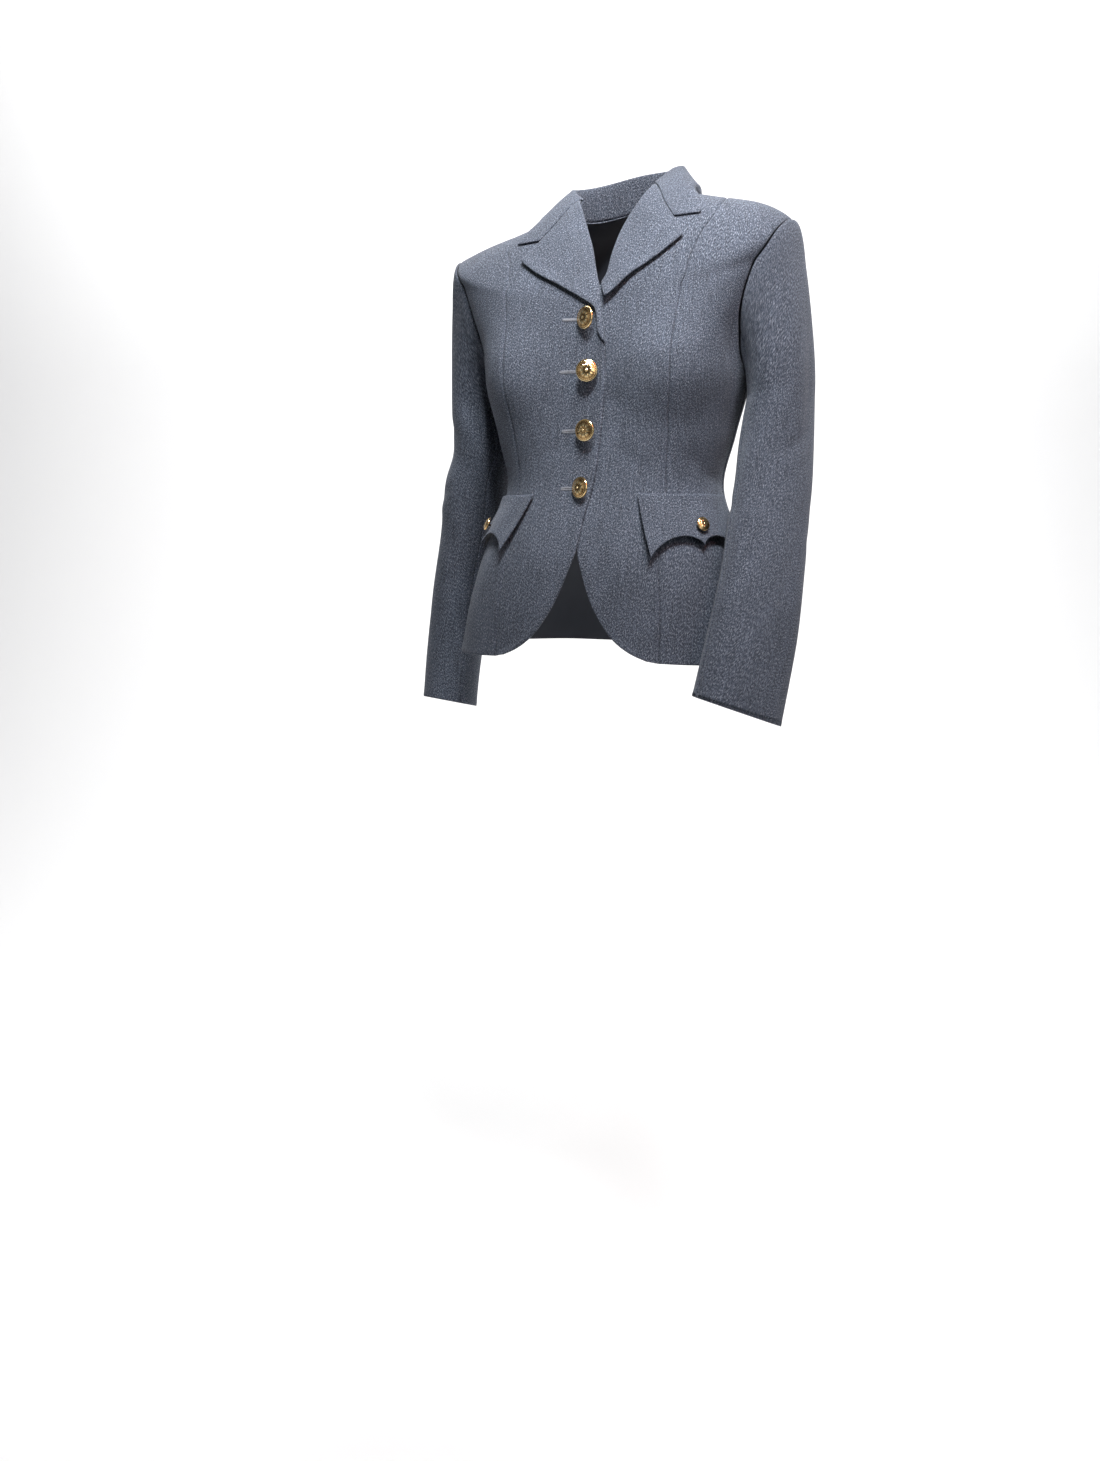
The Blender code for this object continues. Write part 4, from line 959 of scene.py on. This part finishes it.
def makeStitchTree():
    tree = bpy.data.node_groups.new("stitchesAlongEdge", "GeometryNodeTree")
    sockets = {}
    for name, kind in (("Geometry", "Geometry"), ("Stitch", "Object"), ("Pitch", "Float"),
                       ("Upward", "Vector"), ("Least", "Float"), ("Most", "Float"), ("Seed", "Int"),
                       ("Thread", "Material")):
        socket = tree.interface.new_socket(name, in_out="INPUT", socket_type="NodeSocket" + kind)
        sockets[name] = socket.identifier
    tree.interface.new_socket("Geometry", in_out="OUTPUT", socket_type="NodeSocketGeometry")

    def add(kind, settings=None, **wires):
        made = tree.nodes.new(kind)
        for key, value in (settings or {}).items():
            setattr(made, key, value)
        for key, output in wires.items():
            tree.links.new(output, made.inputs[key])
        return made.outputs

    given = add("NodeGroupInput")
    line = add("GeometryNodeMeshToCurve", Mesh=given["Geometry"])
    evenly = add("GeometryNodeResampleCurve", {"mode": "LENGTH"}, Curve=line["Curve"], Length=given["Pitch"])
    along = add("GeometryNodeInputTangent")
    forward = add("FunctionNodeAlignRotationToVector", {"axis": "X"}, Vector=along["Tangent"])
    upright = add("FunctionNodeAlignRotationToVector", {"axis": "Z", "pivot_axis": "X"},
                  Rotation=forward["Rotation"], Vector=given["Upward"])
    source = add("GeometryNodeObjectInfo", Object=given["Stitch"])
    add("FunctionNodeRandomValue", {"data_type": "FLOAT"}, Seed=given["Seed"])
    least, most = [socket for socket in tree.nodes[-1].inputs if socket.type == "VALUE"][:2]
    size = next(socket for socket in tree.nodes[-1].outputs if socket.type == "VALUE")
    tree.links.new(given["Least"], least)
    tree.links.new(given["Most"], most)
    placed = add("GeometryNodeInstanceOnPoints", Points=evenly["Curve"], Instance=source["Geometry"],
                 Rotation=upright["Rotation"], Scale=size)
    real = add("GeometryNodeRealizeInstances", Geometry=placed["Instances"])
    painted = add("GeometryNodeSetMaterial", Geometry=real["Geometry"], Material=given["Thread"])
    add("NodeGroupOutput", Geometry=painted["Geometry"])
    return tree, sockets


stitchTree, stitchSockets = makeStitchTree()


def tube(name, centres, radius, material, sides=6):
    tangent = unit(np.gradient(centres, axis=0))
    first = unit(np.cross(tangent, (0.3, 0.5, 0.81)))  # any way that no thread here runs
    second = np.cross(tangent, first)
    turn = circle(sides)[None, :, None]
    blunt = stitchForm["blunt"]
    thick = radius * np.sin(math.pi * np.linspace(blunt, 1 - blunt, len(centres))) ** 0.5
    around = first[:, None] * np.cos(turn) + second[:, None] * np.sin(turn)
    points = centres[:, None] + around * thick[:, None, None]
    faces, index, _ = tubeFaces(len(centres), sides)
    faces += [index[0, ::-1].tolist(), index[-1].tolist()]
    return addObject(name, points.reshape(-1, 3), faces, (material,))


def boundSlit(name, place):
    form = stitchForm
    half, end, thread = form["half"], form["length"] / 2, form["thread"]
    middle = -(form["inner"] + end)
    turn = circle(form["edgePoints"])
    across = np.clip(np.cos(turn) * form["endRound"], -1, 1) * (end - half) + half * np.cos(turn)
    edge, _ = place(middle + across, half * np.sin(turn), form["lift"])
    stitches = addObject(name, edge, [], edges=[(k, (k + 1) % len(edge)) for k in range(len(edge))])
    _, normal = place(np.array([middle]), np.zeros(1), 0.0)
    s = np.linspace(-1, 1, form["points"])
    arch = np.stack([form["slant"] * s * thread, s * form["reach"], form["arch"] * thread * (1 - s * s)], -1)
    sample = tube(name + "_one", arch, thread, threadGrey)
    modifier = stitches.modifiers.new("stitches", "NODES")
    modifier.node_group = stitchTree
    values = {"Stitch": sample, "Pitch": form["pitch"], "Upward": normal[0].tolist(), "Seed": form["seed"],
              "Least": 1 - form["unevenness"], "Most": 1 + form["unevenness"], "Thread": threadGrey}
    for key, value in values.items():
        modifier[stitchSockets[key]] = value
    stitches.update_tag()
    bpy.context.view_layer.update()
    graph = bpy.context.evaluated_depsgraph_get()
    mesh = bpy.data.meshes.new_from_object(stitches.evaluated_get(graph))
    stitches.modifiers.clear()
    stitches.data = mesh
    mesh.shade_smooth()
    bpy.data.objects.remove(sample)
    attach(stitches, "root")
    # A near-black tube along the slit stands in for the slit's painted shadow
    line = middle + np.linspace(half - end, end - half, form["slitPoints"])
    centres, _ = place(line, 0 * line, form["lift"] * form["slitSink"])
    slitShadeTube = tube(name + "_slit", centres, half * form["slitShare"], paintedSlitShadow)
    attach(slitShadeTube, "root")
    return len(mesh.polygons)


for number, row in enumerate(buttonForm["front"], 1):
    count = boundSlit(f"buttonhole_{number}", onFront(row[0]))
print(f"buttonholes bound, {count} faces each")

# Light, floor and camera. The camera stands where the photograph was taken from.
lens = {"place": (0.4589, -1.321, -0.368), "pitch": 79.3, "bearing": 22.5, "sensor": 36, "focal": 1100,
        "frame": 1461}
stand = {"floor": -1.46, "half": 7.0, "back": 2.6, "bend": 1.6, "bendRows": 16, "top": 6.0,
         "tint": (0.86, 0.86, 0.86, 1.0)}
room = {"colour": (0.86, 0.89, 0.95, 1), "strength": 0.09}
# Each light's place, what it points at, power, colour, and width and height, or a spot's angle in degrees
lights = {
    "topKey": ((0.44, -0.66, 1.0), (0.0, 0.0, -0.2), 37, (0.98, 0.99, 1.0), (0.45, 0.45)),
    "neckSpot": ((0.22, -0.8, 0.72), (0.03, -0.09, -0.09), 64, (0.97, 0.99, 1.0), 26),
    "warmCard": ((0.73, -0.6, 0.42), (0.02, -0.12, -0.25), 1.6, (1.0, 0.28, 0.16), (0.34, 0.34)),
    "rightFill": ((1.7, -1.5, 0.2), (0.0, 0.0, -0.3), 8, (0.96, 0.98, 1.0), (0.8, 1.4)),
    "leftFill": ((-1.2, -2.0, 0.3), (0.0, 0.0, -0.3), 1.5, (1.0, 0.99, 0.97), (1.0, 1.4)),
    "backRim": ((-0.5, 1.5, 1.2), (0.0, 0.0, -0.2), 14, (1.0, 0.98, 0.95), (1.0, 0.8)),
    "backdropWash": ((-0.3, 0.9, 2.2), (-0.8, 3.0, -0.6), 125, (1.0, 1.0, 1.0), (3.0, 1.0)),
}
spotEdge = {"spot_blend": 1.0, "shadow_soft_size": 0.05}


def makeFloor():
    half, back, bend = stand["half"], stand["back"], stand["bend"]
    turn = np.linspace(0, math.pi / 2, stand["bendRows"])
    y = np.concatenate([[-half], back - bend + bend * np.sin(turn), [back]])
    z = np.concatenate([[0], bend * (1 - np.cos(turn)), [stand["top"]]]) + stand["floor"]
    points = np.stack([np.column_stack([0 * y + x, y, z]) for x in (-half, half)], 1).reshape(-1, 3)
    faces = [(2 * k, 2 * k + 1, 2 * k + 3, 2 * k + 2) for k in range(len(y) - 1)]
    paint = Shader("paleFloor", Base_Color=stand["tint"], Roughness=0.75, Specular_IOR_Level=0.2).material
    floor = addObject("paleFloor", points, faces, (paint,))
    floor.rotation_euler = (0, 0, math.radians(lens["bearing"]))


def makeLight(name, place, target, power, colour, size):
    spot = not isinstance(size, tuple)
    light = bpy.data.lights.new(name, "SPOT" if spot else "AREA")
    light.energy, light.color = power, colour
    if spot:
        settings = {"spot_size": math.radians(size), **spotEdge}
    else:
        settings = {"shape": "RECTANGLE", "size": size[0], "size_y": size[1]}
    for key, value in settings.items():
        setattr(light, key, value)
    made = addToScene(name, light)
    made.location = place
    made.rotation_euler = (Vector(target) - Vector(place)).to_track_quat("-Z", "Y").to_euler()


makeFloor()
for name, settings in lights.items():
    makeLight(name, *settings)

world = bpy.data.worlds.new("softRoom")
world.use_nodes = True
background = world.node_tree.nodes["Background"].inputs
background["Color"].default_value, background["Strength"].default_value = room["colour"], room["strength"]
bpy.context.scene.world = world

cameraData = bpy.data.cameras.new("photoView")
cameraData.sensor_width, cameraData.sensor_fit = lens["sensor"], "AUTO"
cameraData.lens = lens["sensor"] * lens["focal"] / lens["frame"]
cameraData.clip_start = 0.02
camera = addToScene("photoView", cameraData)
camera.location = lens["place"]
camera.rotation_euler = (math.radians(lens["pitch"]), 0, math.radians(lens["bearing"]))
bpy.context.scene.camera = camera
bpy.context.scene.view_settings.view_transform = "Standard"

print("scene ready")
